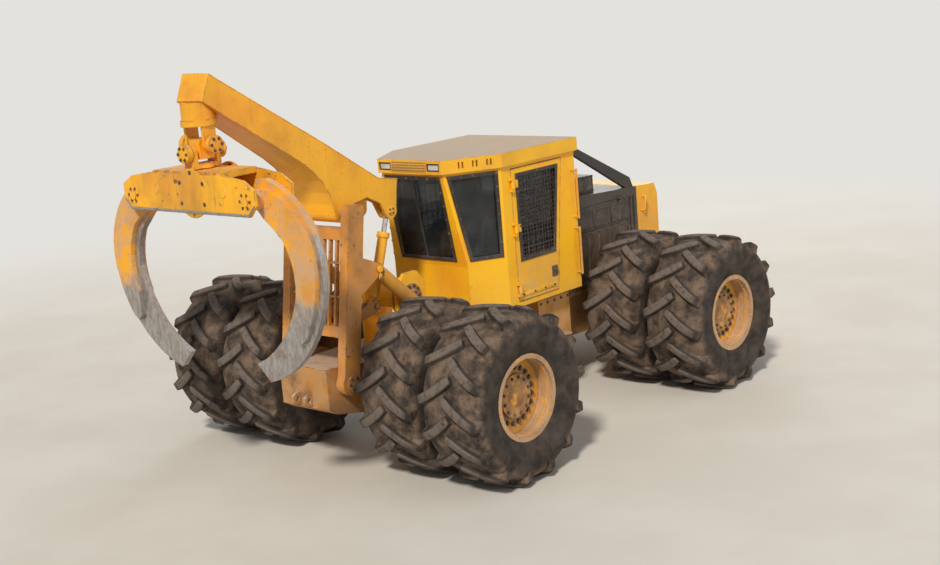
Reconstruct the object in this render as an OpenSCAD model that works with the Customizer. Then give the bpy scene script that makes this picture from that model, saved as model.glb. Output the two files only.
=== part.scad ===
// Log skidder with an articulated frame, twin wheels at each corner, a hinged arch and boom and a hanging grapple.
// Millimetres. +X is forward, +Y is left, +Z is up. The wheels stand on z = 0.
// Places along X are measured from the hinge of the frame, which at() then sets at hitch_x.

/* [Layout] */
// Distance between the two axles
wheelbase = 3900; // [3880:10:4400]
// Place of the frame's hinge along X, so that the middle of the machine is at 0
hitch_x = 20; // [-40:1:80]
// Gap around a pin in its bore
pin_gap = 0.1; // [0.05:0.01:0.3]
// Gap between pieces that move beside each other
side_gap = 10; // [6:1:20]
// Gap between pieces that are seated on each other
seat_gap = 0.3; // [0.1:0.1:1]

/* [Tyres and rims] */
// Radius of a tyre over its lugs
tyre_r = 925; // [880:5:940]
// Lugs on each side of a tyre
lug_count = 14; // [12:1:18]
// Height of a lug over the tyre's floor
lug_h = 55; // [40:1:65]
// Width of a lug
lug_w = 80; // [60:5:100]
// Width of one tyre
tyre_w = 790; // [700:10:820]
// Middle of the inner tyre, from the machine's middle
inner_y = 1130; // [1110:5:1180]
// Distance between the two tyres of a pair
twin_pitch = 890; // [850:5:950]
// Radius of the rim's bead seat
rim_r = 425; // [380:5:440]
// Thickness of the rim's barrel
rim_wall = 22; // [14:1:40]
// Height of the rim's edge over the bead seat
rim_edge = 30; // [20:1:45]
// How far the outer wheel disc lies inside the rim's outer edge
disc_depth = 190; // [100:5:260]

/* [Frames] */
// Half width of the two frames
frame_half_w = 430; // [380:5:450]
// Top of the frames
frame_top = 1150; // [1100:5:1180]
// Bottom of the frames
frame_bottom = 620; // [560:5:660]
// Front end of the front frame
nose_x = 3330; // [3250:10:3400]
// Rear end of the rear frame
tail_x = -2860; // [-2960:10:-2800]
// Thickness of the hinge's plates
ear_t = 55; // [40:1:70]
// Radius of the hinge's pins
hitch_pin_r = 60; // [45:1:75]
// Radius of the round end of the hinge's plates
ear_r = 150; // [120:5:180]

/* [Cab] */
// Half width of the cab
cab_half_w = 820; // [780:5:850]
// Underside of the cab's floor
cab_bottom = 1330; // [1300:5:1400]
// Underside of the roof
cab_top = 2990; // [2940:5:3040]
// Thickness of the roof's edge
roof_t = 160; // [120:5:200]
// Height where the windows start
belt_z = 1960; // [1900:5:2050]
// Thickness of the cab's walls
cab_wall = 60; // [40:2:80]
// Width of the door's opening at its top
door_w = 930; // [850:5:980]
// How much narrower the door is at its bottom
door_taper = 200; // [100:5:260]
// Thickness of a door
door_t = 50; // [40:2:60]

/* [Engine] */
// Front end of the engine's enclosure
hood_front_x = 3060; // [2980:10:3120]
// Half width of the engine's enclosure
hood_half_w = 560; // [500:5:600]
// Top of the enclosure at the cab
hood_rear_z = 2370; // [2300:5:2420]
// Top of the enclosure at the nose
hood_front_z = 2270; // [2200:5:2300]
// Bottom of the service doors, above the tyres
engine_door_z = 1880; // [1870:5:1950]

/* [Blade] */
// Width of the blade
blade_w = 3100; // [2800:10:3300]
// Height of the blade
blade_h = 760; // [650:10:900]

/* [Arch and boom] */
// Place of the arch's pivot along X
arch_x = -2620; // [-2680:5:-2580]
// Height of the arch's pivot
arch_z = 1020; // [980:5:1060]
// Place of the boom's pivot along X
boom_x = -2330; // [-2380:5:-2280]
// Height of the boom's pivot
boom_z = 2800; // [2700:5:2900]
// Width of one column of the arch, across the machine
column_w = 120; // [100:2:140]
// Depth of one column of the arch, along the machine
column_d = 220; // [180:2:260]
// Gap between a column and the side of the frame's tail
column_gap = 15; // [8:1:20]
// Half width of the frame's tail, between the columns
tail_half_w = 370; // [340:5:390]
// Place of the grapple's swing along X
hang_x = -3850; // [-3950:5:-3750]
// Height of the grapple's fore and aft swing
hang_z = 3740; // [3700:5:3800]
// Half width of the boom at its tip
boom_tip_half = 205; // [180:5:230]
// Half width of the boom at its pivot
boom_heel_half = 300; // [270:5:340]

/* [Grapple] */
// Distance between the two tong pins
tong_span = 1750; // [1650:10:1850]
// Height of the tong pins
tong_z = 3240; // [3200:5:3280]
// Length of the grapple's head along the machine
head_d = 500; // [440:10:560]
// Thickness of the head's plates
head_plate = 30; // [20:1:40]
// Thickness of a tong's blade
tong_t = 70; // [50:2:90]

/* [Cylinders] */
// Radius of the arch cylinders' barrels
arch_barrel_r = 78; // [60:1:90]
// Radius of the boom cylinders' barrels
boom_barrel_r = 56; // [45:1:65]
// Radius of the blade cylinders' barrels
blade_barrel_r = 55; // [45:1:65]
// Radius of the steering cylinders' barrels
steer_barrel_r = 52; // [45:1:60]

/* [Hidden] */
$fn = 48;

paint = "goldenrod";
dusty = "tan";
black = "dimgray";
steel = "silver";

axle_x = wheelbase / 2;
axle_z = tyre_r;
outer_y = inner_y + twin_pitch;

// Places and shapes

// Puts a piece that is drawn from the frame's hinge in the machine's own frame
module at() translate([hitch_x, 0, 0]) children();

module both_sides() {
    children();
    mirror([0, 1, 0]) children();
}

// A round bar along X, Y or a line in the X-Z plane, with its middle at p
module bar_x(p, r, l) translate(p) rotate([0, 90, 0]) cylinder(h = l, r = r, center = true);
module bar_y(p, r, l) translate(p) rotate([90, 0, 0]) cylinder(h = l, r = r, center = true);
module bar_z(p, r, l) translate(p) cylinder(h = l, r = r, center = true);

// A side outline (x, z), drawn from y = y0 to y0 + t
module side_plate(points, y0, t)
    translate([0, y0 + t, 0]) rotate([90, 0, 0]) linear_extrude(t) polygon(points);

// A side outline (x, z), w wide about the machine's middle
module side_slab(points, w) side_plate(points, -w / 2, w);

// A rear outline (y, z), drawn from x = x0 to x0 + t
module cross_plate(points, x0, t)
    translate([x0, 0, 0]) rotate([90, 0, 90]) linear_extrude(t) polygon(points);

// A plan outline (x, y), drawn from z = z0 to z0 + t
module plan_plate(points, z0, t) translate([0, 0, z0]) linear_extrude(t) polygon(points);

// Points of an arc in degrees, n steps long
function arc(c, r, a0, a1, n) =
    [for (i = [0:n]) c + r * [cos(a0 + (a1 - a0) * i / n), sin(a0 + (a1 - a0) * i / n)]];

// Puts children, drawn along +X from 0, on the line from a to b (x, z) at the given y
module along(a, b, y)
    translate([a[0], y, a[1]]) rotate([0, -atan2(b[1] - a[1], b[0] - a[0]), 0]) children();

// Frames and axles

front_box_x = 320;
hitch_box_x = 930;
rear_box_x = -440;
plate_t = 40;
ear_inset = frame_top - 100;
ear_levels = [ear_inset, frame_bottom + 10];
deck_t = 30;
deck_x = 1080;
nose_half_w = 300;
axle_r = 150;
spindle_r = 70;
hub_in_y = 745;
tow_bore_r = 30;

// Places of the cylinders' pins, as (x, z), and the lines they work on
blade_pin = [2480, 820];
blade_pin_r = 45;
blade_arm_y = 580;
blade_arm_t = 80;
blade_cyl_foot = [3200, 1520];
blade_cyl_y = 375;
steer_z = 850;
steer_y = 240;
steer_foot_x = 720;
steer_eye_x = -300;
eye_window_w = 160;

// One plate of the frame's hinge, z0 to z0 + ear_t: a round end about the pin and a foot at foot_x
module hinge_ear(z0, foot_x) {
    translate([0, 0, z0]) cylinder(h = ear_t, r = ear_r);
    plan_plate([[0, -ear_r], [foot_x, -0.62 * frame_half_w], [foot_x, 0.62 * frame_half_w], [0, ear_r]], z0, ear_t);
}

module front_frame() color(paint) at() {
    difference() {
        union() {
            side_slab([[hitch_box_x, frame_bottom], [2300, frame_bottom - 40], [2980, 740], [2980, frame_top],
                [hitch_box_x, frame_top]], 2 * frame_half_w);
            side_slab([[2900, 720], [nose_x - 60, 800], [nose_x, 900], [nose_x, 1420], [hood_front_x + 5, 1420],
                [hood_front_x + 5, frame_top], [2900, frame_top]], 2 * nose_half_w);
            // Deck that carries the engine's enclosure
            translate([deck_x, -hood_half_w, frame_top - 1]) cube([hood_front_x - deck_x, 2 * hood_half_w, deck_t + 1]);
        }
        // Round seat of the axle
        bar_y([axle_x, 0, axle_z], axle_r + seat_gap, 2 * frame_half_w + 2);
    }
    // Hitch section, bolted to the frame's rear: hollow and open to the rear, with the hinge's two plates
    difference() {
        union() {
            translate([front_box_x, -frame_half_w, frame_bottom])
                cube([hitch_box_x - seat_gap - front_box_x, 2 * frame_half_w, frame_top - frame_bottom]);
            for (z = ear_levels) hinge_ear(z, front_box_x + 5);
        }
        translate([front_box_x - 1, -frame_half_w + plate_t, frame_bottom + 60])
            cube([hitch_box_x - seat_gap - plate_t - front_box_x + 1, 2 * (frame_half_w - plate_t),
                frame_top - frame_bottom - 120]);
    }
    // Pins of the hinge, fixed in this frame
    bar_z([0, 0, ear_inset - side_gap / 2], hitch_pin_r, 2 * ear_t + side_gap);
    bar_z([0, 0, ear_levels[1] + ear_t + side_gap / 2], hitch_pin_r, 2 * ear_t + side_gap);
    both_sides() {
        // Cab mounts, on the hinge's upper plate and on the frame
        translate([-60, 40, ear_inset + ear_t - 1]) cube([120, 90, cab_bottom - seat_gap - ear_inset - ear_t + 1]);
        translate([hitch_box_x + 10, 250, frame_top - 1]) cube([60, 120, cab_bottom - seat_gap - frame_top + 1]);
        // Pins of the blade's arms and of its cylinders
        bar_y([blade_pin[0], (frame_half_w + blade_arm_y + blade_arm_t / 2 + 19) / 2, blade_pin[1]], blade_pin_r,
            blade_arm_y + blade_arm_t / 2 + 21 - frame_half_w);
        bar_y([blade_pin[0], frame_half_w + (blade_arm_y - blade_arm_t / 2 - side_gap - frame_half_w) / 2, blade_pin[1]],
            100, blade_arm_y - blade_arm_t / 2 - side_gap - frame_half_w);
        side_plate([[blade_cyl_foot[0] - 110, 1400], [blade_cyl_foot[0] + 110, 1400], [blade_cyl_foot[0] + 50, 1580],
            [blade_cyl_foot[0] - 50, 1580]], nose_half_w - 60, 60);
        // Tow lugs on the nose
        difference() {
            side_plate([[nose_x - 5, 950], [nose_x + 60, 950], [nose_x + 105, 985], [nose_x + 105, 1045],
                [nose_x + 60, 1080], [nose_x - 5, 1080]], 150, 40);
            bar_y([nose_x + 50, 170, 1015], tow_bore_r, 60);
        }
        bar_y([blade_cyl_foot[0], (nose_half_w + blade_cyl_y + 45) / 2 - 1, blade_cyl_foot[1]], eye_pin_r,
            blade_cyl_y + 45 - nose_half_w + 2);
        // Pin of the steering cylinder, from floor to roof of the hollow
        bar_z([steer_foot_x, steer_y, (frame_top + frame_bottom) / 2], eye_pin_r - seat_gap,
            frame_top - frame_bottom - 118);
    }
}

module rear_frame() color(paint) at() {
    difference() {
        union() {
            side_slab([[rear_box_x, frame_bottom], [rear_box_x, frame_top], [-2300, frame_top],
                [-2300, frame_bottom - 20], [-1500, frame_bottom - 20]], 2 * frame_half_w);
            side_slab([[-2290, frame_top], [tail_x + 60, frame_top + 60], [tail_x, frame_top + 60],
                [tail_x, 760], [tail_x + 120, 690], [-2290, frame_bottom - 20]], 2 * tail_half_w);
        }
        bar_y([-axle_x, 0, axle_z], axle_r + seat_gap, 2 * frame_half_w + 2);
    }
    // Hitch plate, bolted to the frame's front, with a window for each rod's eye, and its plates of the hinge
    difference() {
        union() {
            translate([rear_box_x + seat_gap, -frame_half_w, frame_bottom])
                cube([plate_t, 2 * frame_half_w, frame_top - frame_bottom]);
            hinge_ear(ear_inset - side_gap - ear_t, rear_box_x + plate_t - 5);
            hinge_ear(ear_levels[1] + ear_t + side_gap, rear_box_x + plate_t - 5);
        }
        bar_z([0, 0, steer_z], hitch_pin_r + pin_gap, 1000);
        both_sides() translate([rear_box_x, steer_y - eye_window_w / 2, steer_z - eye_w / 2 - 6])
            cube([plate_t + 1, eye_window_w, eye_w + 12]);
    }
    both_sides() {
        // Steering arms: two plates about the rod's eye, with a stub of the pin in each
        for (s = [-1, 1]) translate([0, 0, steer_z + s * (eye_w / 2 + 21) - 15]) {
            plan_plate([[rear_box_x + plate_t - 5, steer_y - 85], [steer_eye_x, steer_y - 75], [steer_eye_x, steer_y + 75],
                [rear_box_x + plate_t - 5, steer_y + 85]], 0, 30);
            translate([steer_eye_x, steer_y, 0]) cylinder(h = 30, r = 75);
            translate([steer_eye_x, steer_y, s * 8]) cylinder(h = 30, r = 34);
        }
        // Pins of the arch
        bar_y([arch_x, (tail_half_w + column_y + column_w + 20) / 2 - 1, arch_z], arch_pin_r,
            column_y + column_w + 20 - tail_half_w + 2);
        bar_y([arch_x, column_y + column_w + 15 + side_gap / 2, arch_z], arch_pin_r + 35, 20);
        // Ears about the eyes of the arch cylinders' rods
        for (s = [-1, 1]) side_plate([[arch_cyl_foot[0] - 150, frame_top - 200], [arch_cyl_foot[0] + 70, frame_top - 200],
            [arch_cyl_foot[0] + 75, arch_cyl_foot[1] + 30], [arch_cyl_foot[0] + 30, arch_cyl_foot[1] + 75],
            [arch_cyl_foot[0] - 30, arch_cyl_foot[1] + 75], [arch_cyl_foot[0] - 75, arch_cyl_foot[1] + 30]],
            arch_cyl_y + s * (eye_w / 2 + 21) - 15, 30);
        translate([arch_cyl_foot[0] - 150, frame_half_w - 1, frame_top - 200])
            cube([220, arch_cyl_y + eye_w / 2 + 36 - frame_half_w + 1, 120]);
        // Tow lugs on the tail
        difference() {
            side_plate([[tail_x + 5, 790], [tail_x - 60, 790], [tail_x - 105, 825], [tail_x - 105, 885],
                [tail_x - 60, 920], [tail_x + 5, 920]], 70, 40);
            bar_y([tail_x - 50, 90, 855], tow_bore_r, 60);
        }
    }
}

// Beam axle with a round middle, a flange and a spindle at each end
module axle(x) {
    bar_y([x, 0, axle_z], axle_r, 2 * frame_half_w + 90);
    bar_y([x, 0, axle_z], 120, 2 * hub_in_y - 20);
    both_sides() {
        bar_y([x, hub_in_y - 30, axle_z], 190, 60);
        bar_y([x, hub_in_y + 90, axle_z], spindle_r, 200);
    }
}

module front_axle() color(dusty) at() axle(axle_x);
module rear_axle() color(dusty) at() axle(-axle_x);

// Cylinders are drawn along +X from their barrel's pin

eye_r = 62;
eye_w = 60;
eye_pin_r = 32;

// A barrel with an eye at 0, a collar at its end and a bore for the rod
module barrel(len, r, rod_r) difference() {
    union() {
        bar_y([0, 0, 0], eye_r, eye_w);
        translate([0, -eye_w / 2, -0.7 * r]) cube([eye_r + 30, eye_w, 1.4 * r]);
        bar_x([(len + eye_r + 25) / 2, 0, 0], r, len - eye_r - 25);
        bar_x([len - 30, 0, 0], r + 14, 60);
    }
    bar_y([0, 0, 0], eye_pin_r + pin_gap, 4 * r);
    translate([eye_r + 45, 0, 0]) rotate([0, 90, 0]) cylinder(h = len, r = rod_r + pin_gap);
}

// A rod from its inner end to its eye, whose middle is at len
module rod(start, len, rod_r) {
    bar_x([(start + len - eye_r - 30) / 2, 0, 0], rod_r, len - eye_r - 30 - start);
    translate([len - eye_r - 31, -eye_w / 2 + 5, -0.8 * rod_r]) cube([eye_r, eye_w - 10, 1.6 * rod_r]);
    bar_y([len, 0, 0], eye_r, eye_w);
}

// Wheels: the two tyres and rims of a corner are one body

tyre_floor_r = tyre_r - lug_h;
lug_len = 485;
lug_bar_h = 95;
lug_slant = 122.6;
lug_droop = 3.5;
lug_phase = 2.74;
tyre_profile = [[rim_r + seat_gap, -289], [640, -tyre_w / 2], [tyre_floor_r - 18, -350], [tyre_floor_r - 18, 350],
    [640, tyre_w / 2], [rim_r + seat_gap, 289]];

// A revolve about a wheel's own axis, at place x along the machine, with +side outwards
module wheel_turn(x, side, y)
    translate([x, side * y, axle_z]) rotate([-90 * side, 0, 0]) rotate_extrude($fn = 72) children();

// One side's lug at the tyre's top: a straight bar from the middle to the shoulder, its middle leading
module lug() translate([0, tyre_w / 4 - 30, tyre_r - 29.1 - lug_bar_h / 2]) rotate([0, 0, lug_slant]) rotate([0, lug_droop, 0])
    cube([lug_len, lug_w, lug_bar_h], center = true);

module tyre() {
    rotate([-90, 0, 0]) rotate_extrude($fn = 2 * lug_count) polygon(tyre_profile);
    // The two sides' lugs stand half a pitch apart
    for (i = [0:lug_count - 1], hand = [0, 1])
        rotate([0, (i + hand / 2) * 360 / lug_count + lug_phase, 0]) mirror([0, hand, 0]) lug();
}

module tyre_pair(x, side) color("darkslategray") at()
    for (y = [inner_y, outer_y]) translate([x, side * y, axle_z]) tyre();

// Half of a rim's width, to the outside of its edge
rim_half = 330;

module rim_pair(x, side) color(dusty) at() {
    for (y = [inner_y, outer_y]) wheel_turn(x, side, y) {
        // Barrel with a raised edge at each end
        polygon([[rim_r - rim_wall, -rim_half], [rim_r + rim_edge, -rim_half], [rim_r + rim_edge, -rim_half + 25],
            [rim_r, -rim_half + 32], [rim_r, rim_half - 32], [rim_r + rim_edge, rim_half - 25],
            [rim_r + rim_edge, rim_half], [rim_r - rim_wall, rim_half]]);
        // Disc
        translate([205, rim_half - disc_depth - 25]) square([rim_r - rim_wall - 204, 25]);
    }
    // Drum that joins the two discs, and the hub with its cover
    wheel_turn(x, side, 0) {
        translate([210, inner_y + rim_half - disc_depth - 1]) square([60, twin_pitch + 2 - 25]);
        translate([0, outer_y + rim_half - disc_depth - 60]) square([230, 100]);
        translate([0, hub_in_y + 200]) square([230, inner_y + rim_half - disc_depth + 40 - hub_in_y - 200]);
        translate([spindle_r + pin_gap, hub_in_y + 1]) square([200 - spindle_r, 200]);
    }
}

module tyres_front_right() tyre_pair(axle_x, -1);
module tyres_front_left() tyre_pair(axle_x, 1);
module tyres_rear_right() tyre_pair(-axle_x, -1);
module tyres_rear_left() tyre_pair(-axle_x, 1);
module rims_front_right() rim_pair(axle_x, -1);
module rims_front_left() rim_pair(axle_x, 1);
module rims_rear_right() rim_pair(-axle_x, -1);
module rims_rear_left() rim_pair(-axle_x, 1);

// Cab

cab_front_x = 1010;
cab_corner_x = -330;
cab_rear_x = -940;
cab_rear_half = 470;
door_hinge_x = -170;
door_bottom = cab_bottom + 60;
door_top = cab_top - 45;
sill_lean = 190;

// Plan of the cab with its two cut rear corners, set in by g; the rear wall leans in by lean
function cab_plan(g, lean = 0) = [
    [cab_front_x - g, -cab_half_w + g], [cab_front_x - g, cab_half_w - g],
    [cab_corner_x + g * 0.3 + lean * 0.4, cab_half_w - g], [cab_rear_x + g + lean, cab_rear_half - g * 0.6],
    [cab_rear_x + g + lean, -cab_rear_half + g * 0.6], [cab_corner_x + g * 0.3 + lean * 0.4, -cab_half_w + g]];

// A cab-shaped solid between two heights, leaning in at its foot
module cab_prism(g, z0, z1) intersection() {
    plan_plate(cab_plan(g), z0, z1 - z0);
    side_slab([[cab_front_x + 50, z0 - 1], [cab_front_x + 50, z1 + 1], [cab_rear_x + g - 5, z1 + 1],
        [cab_rear_x + g, cab_top], [cab_rear_x + g + sill_lean, belt_z - 60],
        [cab_rear_x + g + sill_lean, z0 - 1]], 3 * cab_half_w);
}

function door_outline(g) = [
    [door_hinge_x + g, door_bottom + g], [door_hinge_x + door_w - door_taper - g, door_bottom + g],
    [door_hinge_x + door_w - g, door_top - g], [door_hinge_x + g, door_top - g]];

// Window of a door, inside its frame
function door_window(g) = [
    [door_hinge_x + 90 + g, belt_z - 90 + g], [door_hinge_x + door_w - 225 - g, belt_z - 90 + g],
    [door_hinge_x + door_w - 95 - g, door_top - 80 - g], [door_hinge_x + 90 + g, door_top - 80 - g]];

window_low = belt_z + 20;
window_high = cab_top - 50;
facet_a = [cab_corner_x, -cab_half_w];
facet_b = [cab_rear_x, -cab_rear_half];
facet_angle = atan2(facet_a[1] - facet_b[1], facet_a[0] - facet_b[0]);
facet_len = norm(facet_a - facet_b);

// Cuts or fills the three kinds of window: rear, cut corners and windscreen
module rear_opening(g, t) {
    translate([cab_rear_x - 40, -cab_rear_half + 55 + g, window_low + g])
        cube([t, 2 * (cab_rear_half - 55 - g), window_high - window_low - 2 * g]);
}
module facet_opening(g, x0, t) both_sides()
    translate([facet_b[0], facet_b[1], 0]) rotate([0, 0, facet_angle])
        translate([0, x0, 0]) rotate([90, 0, 0]) translate([0, 0, -t]) linear_extrude(t)
            polygon([[270 + g, window_low + g], [facet_len - 60 - g, window_low + g],
                [facet_len - 60 - g, window_high - g], [75 + g, window_high - g]]);
module screen_opening(g, t)
    translate([cab_front_x - cab_wall - 1, -cab_half_w + 110 + g, 2430 + g])
        cube([t, 2 * (cab_half_w - 110 - g), window_high - 2430 - 2 * g]);

hinge_levels = [door_bottom + 150, (door_bottom + door_top) / 2 + 80, door_top - 180];
hinge_pin_r = 12;
knuckle_r = 24;
knuckle_h = 90;
door_hinge_y = cab_half_w + knuckle_r + 4;

module cab_shell() color(paint) at() {
    cab_walls();
    // Brackets and pins of the doors' hinges
    both_sides() for (z = hinge_levels) {
        bar_z([door_hinge_x, door_hinge_y, z], hinge_pin_r, knuckle_h + 60);
        for (s = [-1, 1]) translate([door_hinge_x - 40, cab_half_w - 1, z + s * (knuckle_h / 2 + 20) - 15]) {
            cube([30, knuckle_r + hinge_pin_r + 5, 30]);
            translate([0, 7, 0]) cube([40 + hinge_pin_r, knuckle_r + hinge_pin_r - 2, 30]);
        }
    }
}

module cab_walls() difference() {
    cab_prism(0, cab_bottom, cab_top - seat_gap);
    cab_prism(cab_wall, cab_bottom + 60, cab_top + 1);
    rear_opening(0, 400);
    facet_opening(0, -60, 160);
    screen_opening(0, cab_wall + 2);
    both_sides() side_plate(door_outline(-5), cab_half_w - cab_wall - 1, cab_wall + 2);
}

lamp_w = 190;
lamp_h = 90;
lamp_in = 45;
module cab_roof() color(paint) at() {
    difference() {
        plan_plate(cab_plan(-35), cab_top, roof_t);
        // Hollow below the roof's skin
        plan_plate(cab_plan(80), cab_top - 1, 61);
        // Pockets of the lamps, front and rear
        both_sides() {
            translate([cab_front_x + 36 - lamp_in, 330, cab_top + 35]) cube([lamp_in + 1, lamp_w, lamp_h]);
            translate([cab_rear_x - 36, cab_rear_half - lamp_w, cab_top + 35]) cube([lamp_in + 1, lamp_w, lamp_h]);
        }
        // Three pairs of vent slots in each cut corner
        both_sides() translate([facet_b[0], facet_b[1], cab_top]) rotate([0, 0, facet_angle])
            for (i = [0:2]) for (s = [-1, 1])
                translate([facet_len * 0.30 + i * facet_len * 0.24 + s * 22, -60, 50]) cube([20, 70, 70]);
    }
}

// Rear face of the cab at height z
function rear_x(z) = cab_rear_x + sill_lean * (cab_top - z) / (cab_top - belt_z + 60);

// Panes: rear, two cut corners and windscreen, each standing in its opening
module cab_glass() color("lightslategray") at() {
    low = window_low + seat_gap;
    high = window_high - seat_gap;
    side_slab([[rear_x(low) + 24, low], [rear_x(low) + 36, low], [rear_x(high) + 36, high], [rear_x(high) + 24, high]],
        2 * (cab_rear_half - 55 - seat_gap));
    facet_opening(seat_gap, 24, 12);
    translate([cab_wall / 2 - 5, 0, 0]) screen_opening(seat_gap, 12);
}

seat_x = 60;
module cab_interior() color(black) at() {
    floor_z = cab_bottom + 60 + seat_gap;
    // Seat with its pedestal and back
    translate([seat_x - 160, -170, floor_z]) cube([320, 340, 330]);
    side_slab([[seat_x - 270, floor_z + 330], [seat_x + 270, floor_z + 330], [seat_x + 270, floor_z + 460],
        [seat_x - 170, floor_z + 450], [seat_x - 280, floor_z + 1080], [seat_x - 400, floor_z + 1080],
        [seat_x - 330, floor_z + 440]], 500);
    // Console ahead of the seat
    side_slab([[seat_x + 560, floor_z], [cab_front_x - cab_wall - 60, floor_z],
        [cab_front_x - cab_wall - 60, floor_z + 760], [seat_x + 700, floor_z + 760]], 900);
}

module cab_door(side) color(paint) at() {
    y0 = cab_half_w - door_t;
    scale([1, side, 1]) {
        difference() {
            side_plate(door_outline(6), y0, door_t);
            side_plate(door_window(0), y0 - 1, door_t + 2);
        }
        // Knuckles of the hinges, each with a strap on the door
        for (z = hinge_levels) difference() {
            union() {
                bar_z([door_hinge_x, door_hinge_y, z], knuckle_r, knuckle_h);
                translate([door_hinge_x, cab_half_w - 1, z - knuckle_h / 2]) cube([110, 13, knuckle_h]);
            }
            bar_z([door_hinge_x, door_hinge_y, z], hinge_pin_r + pin_gap, knuckle_h + 2);
        }
    }
    // Guard of bars in the door's window
    scale([1, side, 1]) intersection() {
        side_plate(door_window(-4), y0 + 8, 26);
        union() {
            for (i = [1:7]) translate([door_hinge_x + 60 + i * 95, y0 + 15, belt_z - 200]) cube([10, 12, 1300]);
            for (i = [0:11]) translate([door_hinge_x, y0 + 15, belt_z - 60 + i * 85]) cube([1000, 12, 10]);
        }
    }
}
module cab_door_right() cab_door(-1);
module cab_door_left() cab_door(1);

// Steps and rails below and beside the doors
module access_steps() color(dusty) at() both_sides() {
    // Tank with its step, seated on the frame's side
    side_plate([[330, 760], [930, 760], [930, cab_bottom - 60], [330, cab_bottom - 60]], frame_half_w + seat_gap, 240);
    translate([360, frame_half_w + 239, 780]) cube([420, 132, 30]);
    // Two grab rails on the cab's side, ahead of the door
    for (z = [[1500, 2080], [2180, 2780]]) {
        bar_z([950, cab_half_w + 70, (z[0] + z[1]) / 2], 14, z[1] - z[0]);
        for (end = z) bar_y([950, cab_half_w + 35 + seat_gap / 2, end + (end == z[0] ? 20 : -20)], 12, 70 - seat_gap);
    }
}

// Engine

engine_x0 = 1250;
engine_len = 1350;
module engine() color(black) at()
    translate([engine_x0, -360, frame_top + deck_t + seat_gap]) cube([engine_len, 720, 850]);

hood_rear_x = cab_front_x + 45;
hood_low_z = frame_top + deck_t + seat_gap;
hood_skin = 40;
service_x = 1250;
service_w = 1150;
service_top = hood_front_z - 70;

service_hinges = [service_x + 150, service_x + service_w - 150];
service_hinge_y = hood_half_w + 18;
service_hinge_z = service_top + 4;
service_pin_r = 6;
module hood() color(paint) at() {
    hood_panels();
    // Brackets and pins of the service doors' hinges
    both_sides() for (x = service_hinges) {
        bar_x([x, service_hinge_y, service_hinge_z], service_pin_r, 130);
        for (s = [-1, 1]) translate([x + s * 60 - 8, hood_half_w - 1, service_hinge_z - 10]) cube([16, 29, 20]);
    }
}

module hood_panels() difference() {
    side_slab([[hood_rear_x, hood_low_z + 120], [deck_x + 10, hood_low_z], [hood_front_x, hood_low_z],
        [hood_front_x, hood_front_z - 140], [hood_front_x - 60, hood_front_z], [hood_rear_x, hood_rear_z]],
        2 * hood_half_w);
    side_slab([[hood_rear_x + hood_skin, hood_low_z - 1], [hood_front_x + 1, hood_low_z - 1],
        [hood_front_x + 1, hood_front_z - 190], [hood_front_x - 90, hood_front_z - 60],
        [hood_rear_x + hood_skin, hood_rear_z - hood_skin]], 2 * (hood_half_w - hood_skin));
    // Openings of the two service doors
    translate([service_x, -hood_half_w - 1, engine_door_z]) cube([service_w, 2 * hood_half_w + 2, service_top - engine_door_z]);
}

module grille() color(black) at() {
    half = hood_half_w - hood_skin - seat_gap;
    low = hood_low_z + 60;
    high = hood_front_z - 220;
    difference() {
        translate([hood_front_x - 70, -half, low]) cube([40, 2 * half, high - low]);
        for (i = [0:8]) translate([hood_front_x - 71, -half + 40, low + 50 + i * (high - low - 60) / 9])
            cube([42, 2 * half - 80, 50]);
    }
}

module engine_door(side) color(black) at() scale([1, side, 1]) {
    translate([service_x + 6, hood_half_w - hood_skin, engine_door_z + 6])
        cube([service_w - 12, hood_skin, service_top - engine_door_z - 12]);
    // Knuckles of the hinges on the upper edge
    for (x = service_hinges) difference() {
        union() {
            bar_x([x, service_hinge_y, service_hinge_z], 14, 90);
            translate([x - 45, hood_half_w - 1, service_hinge_z - 60]) cube([90, 19, 52]);
        }
        bar_x([x, service_hinge_y, service_hinge_z], service_pin_r + pin_gap, 92);
    }
}
module engine_door_right() engine_door(-1);
module engine_door_left() engine_door(1);

// Height of the enclosure's top at x
function hood_z(x) = hood_rear_z + (hood_front_z - hood_rear_z) * (x - hood_rear_x) / (hood_front_x - 60 - hood_rear_x);

module intake_box() color(black) at()
    side_plate([[1250, hood_z(1250) + seat_gap], [1800, hood_z(1800) + seat_gap], [1800, 2560], [1250, 2580]], -480, 360);

module limb_risers() color(black) at() both_sides()
    side_plate([[cab_front_x + 36 + seat_gap, cab_top + 20], [cab_front_x + 36 + seat_gap, cab_top + 110],
        [cab_front_x + 110, cab_top + 110], [2500, 2420], [2560, hood_z(2560) + seat_gap],
        [2400, hood_z(2400) + seat_gap], [cab_front_x + 120, cab_top + 20]], 480, 60);

// Blade

blade_rod_r = 30;
// The blade is drawn from its arms' pivot, standing level, and then swings up to blade_rest
blade_rest = 18;
blade_back_x = 1240;
blade_low = -640;
blade_cyl_eye = [1140, -430];
module swung_blade() translate([blade_pin[0], 0, blade_pin[1]]) rotate([0, -blade_rest, 0]) children();
blade_cyl_end = [
    blade_pin[0] + blade_cyl_eye[0] * cos(blade_rest) - blade_cyl_eye[1] * sin(blade_rest),
    blade_pin[1] + blade_cyl_eye[0] * sin(blade_rest) + blade_cyl_eye[1] * cos(blade_rest)];

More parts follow.
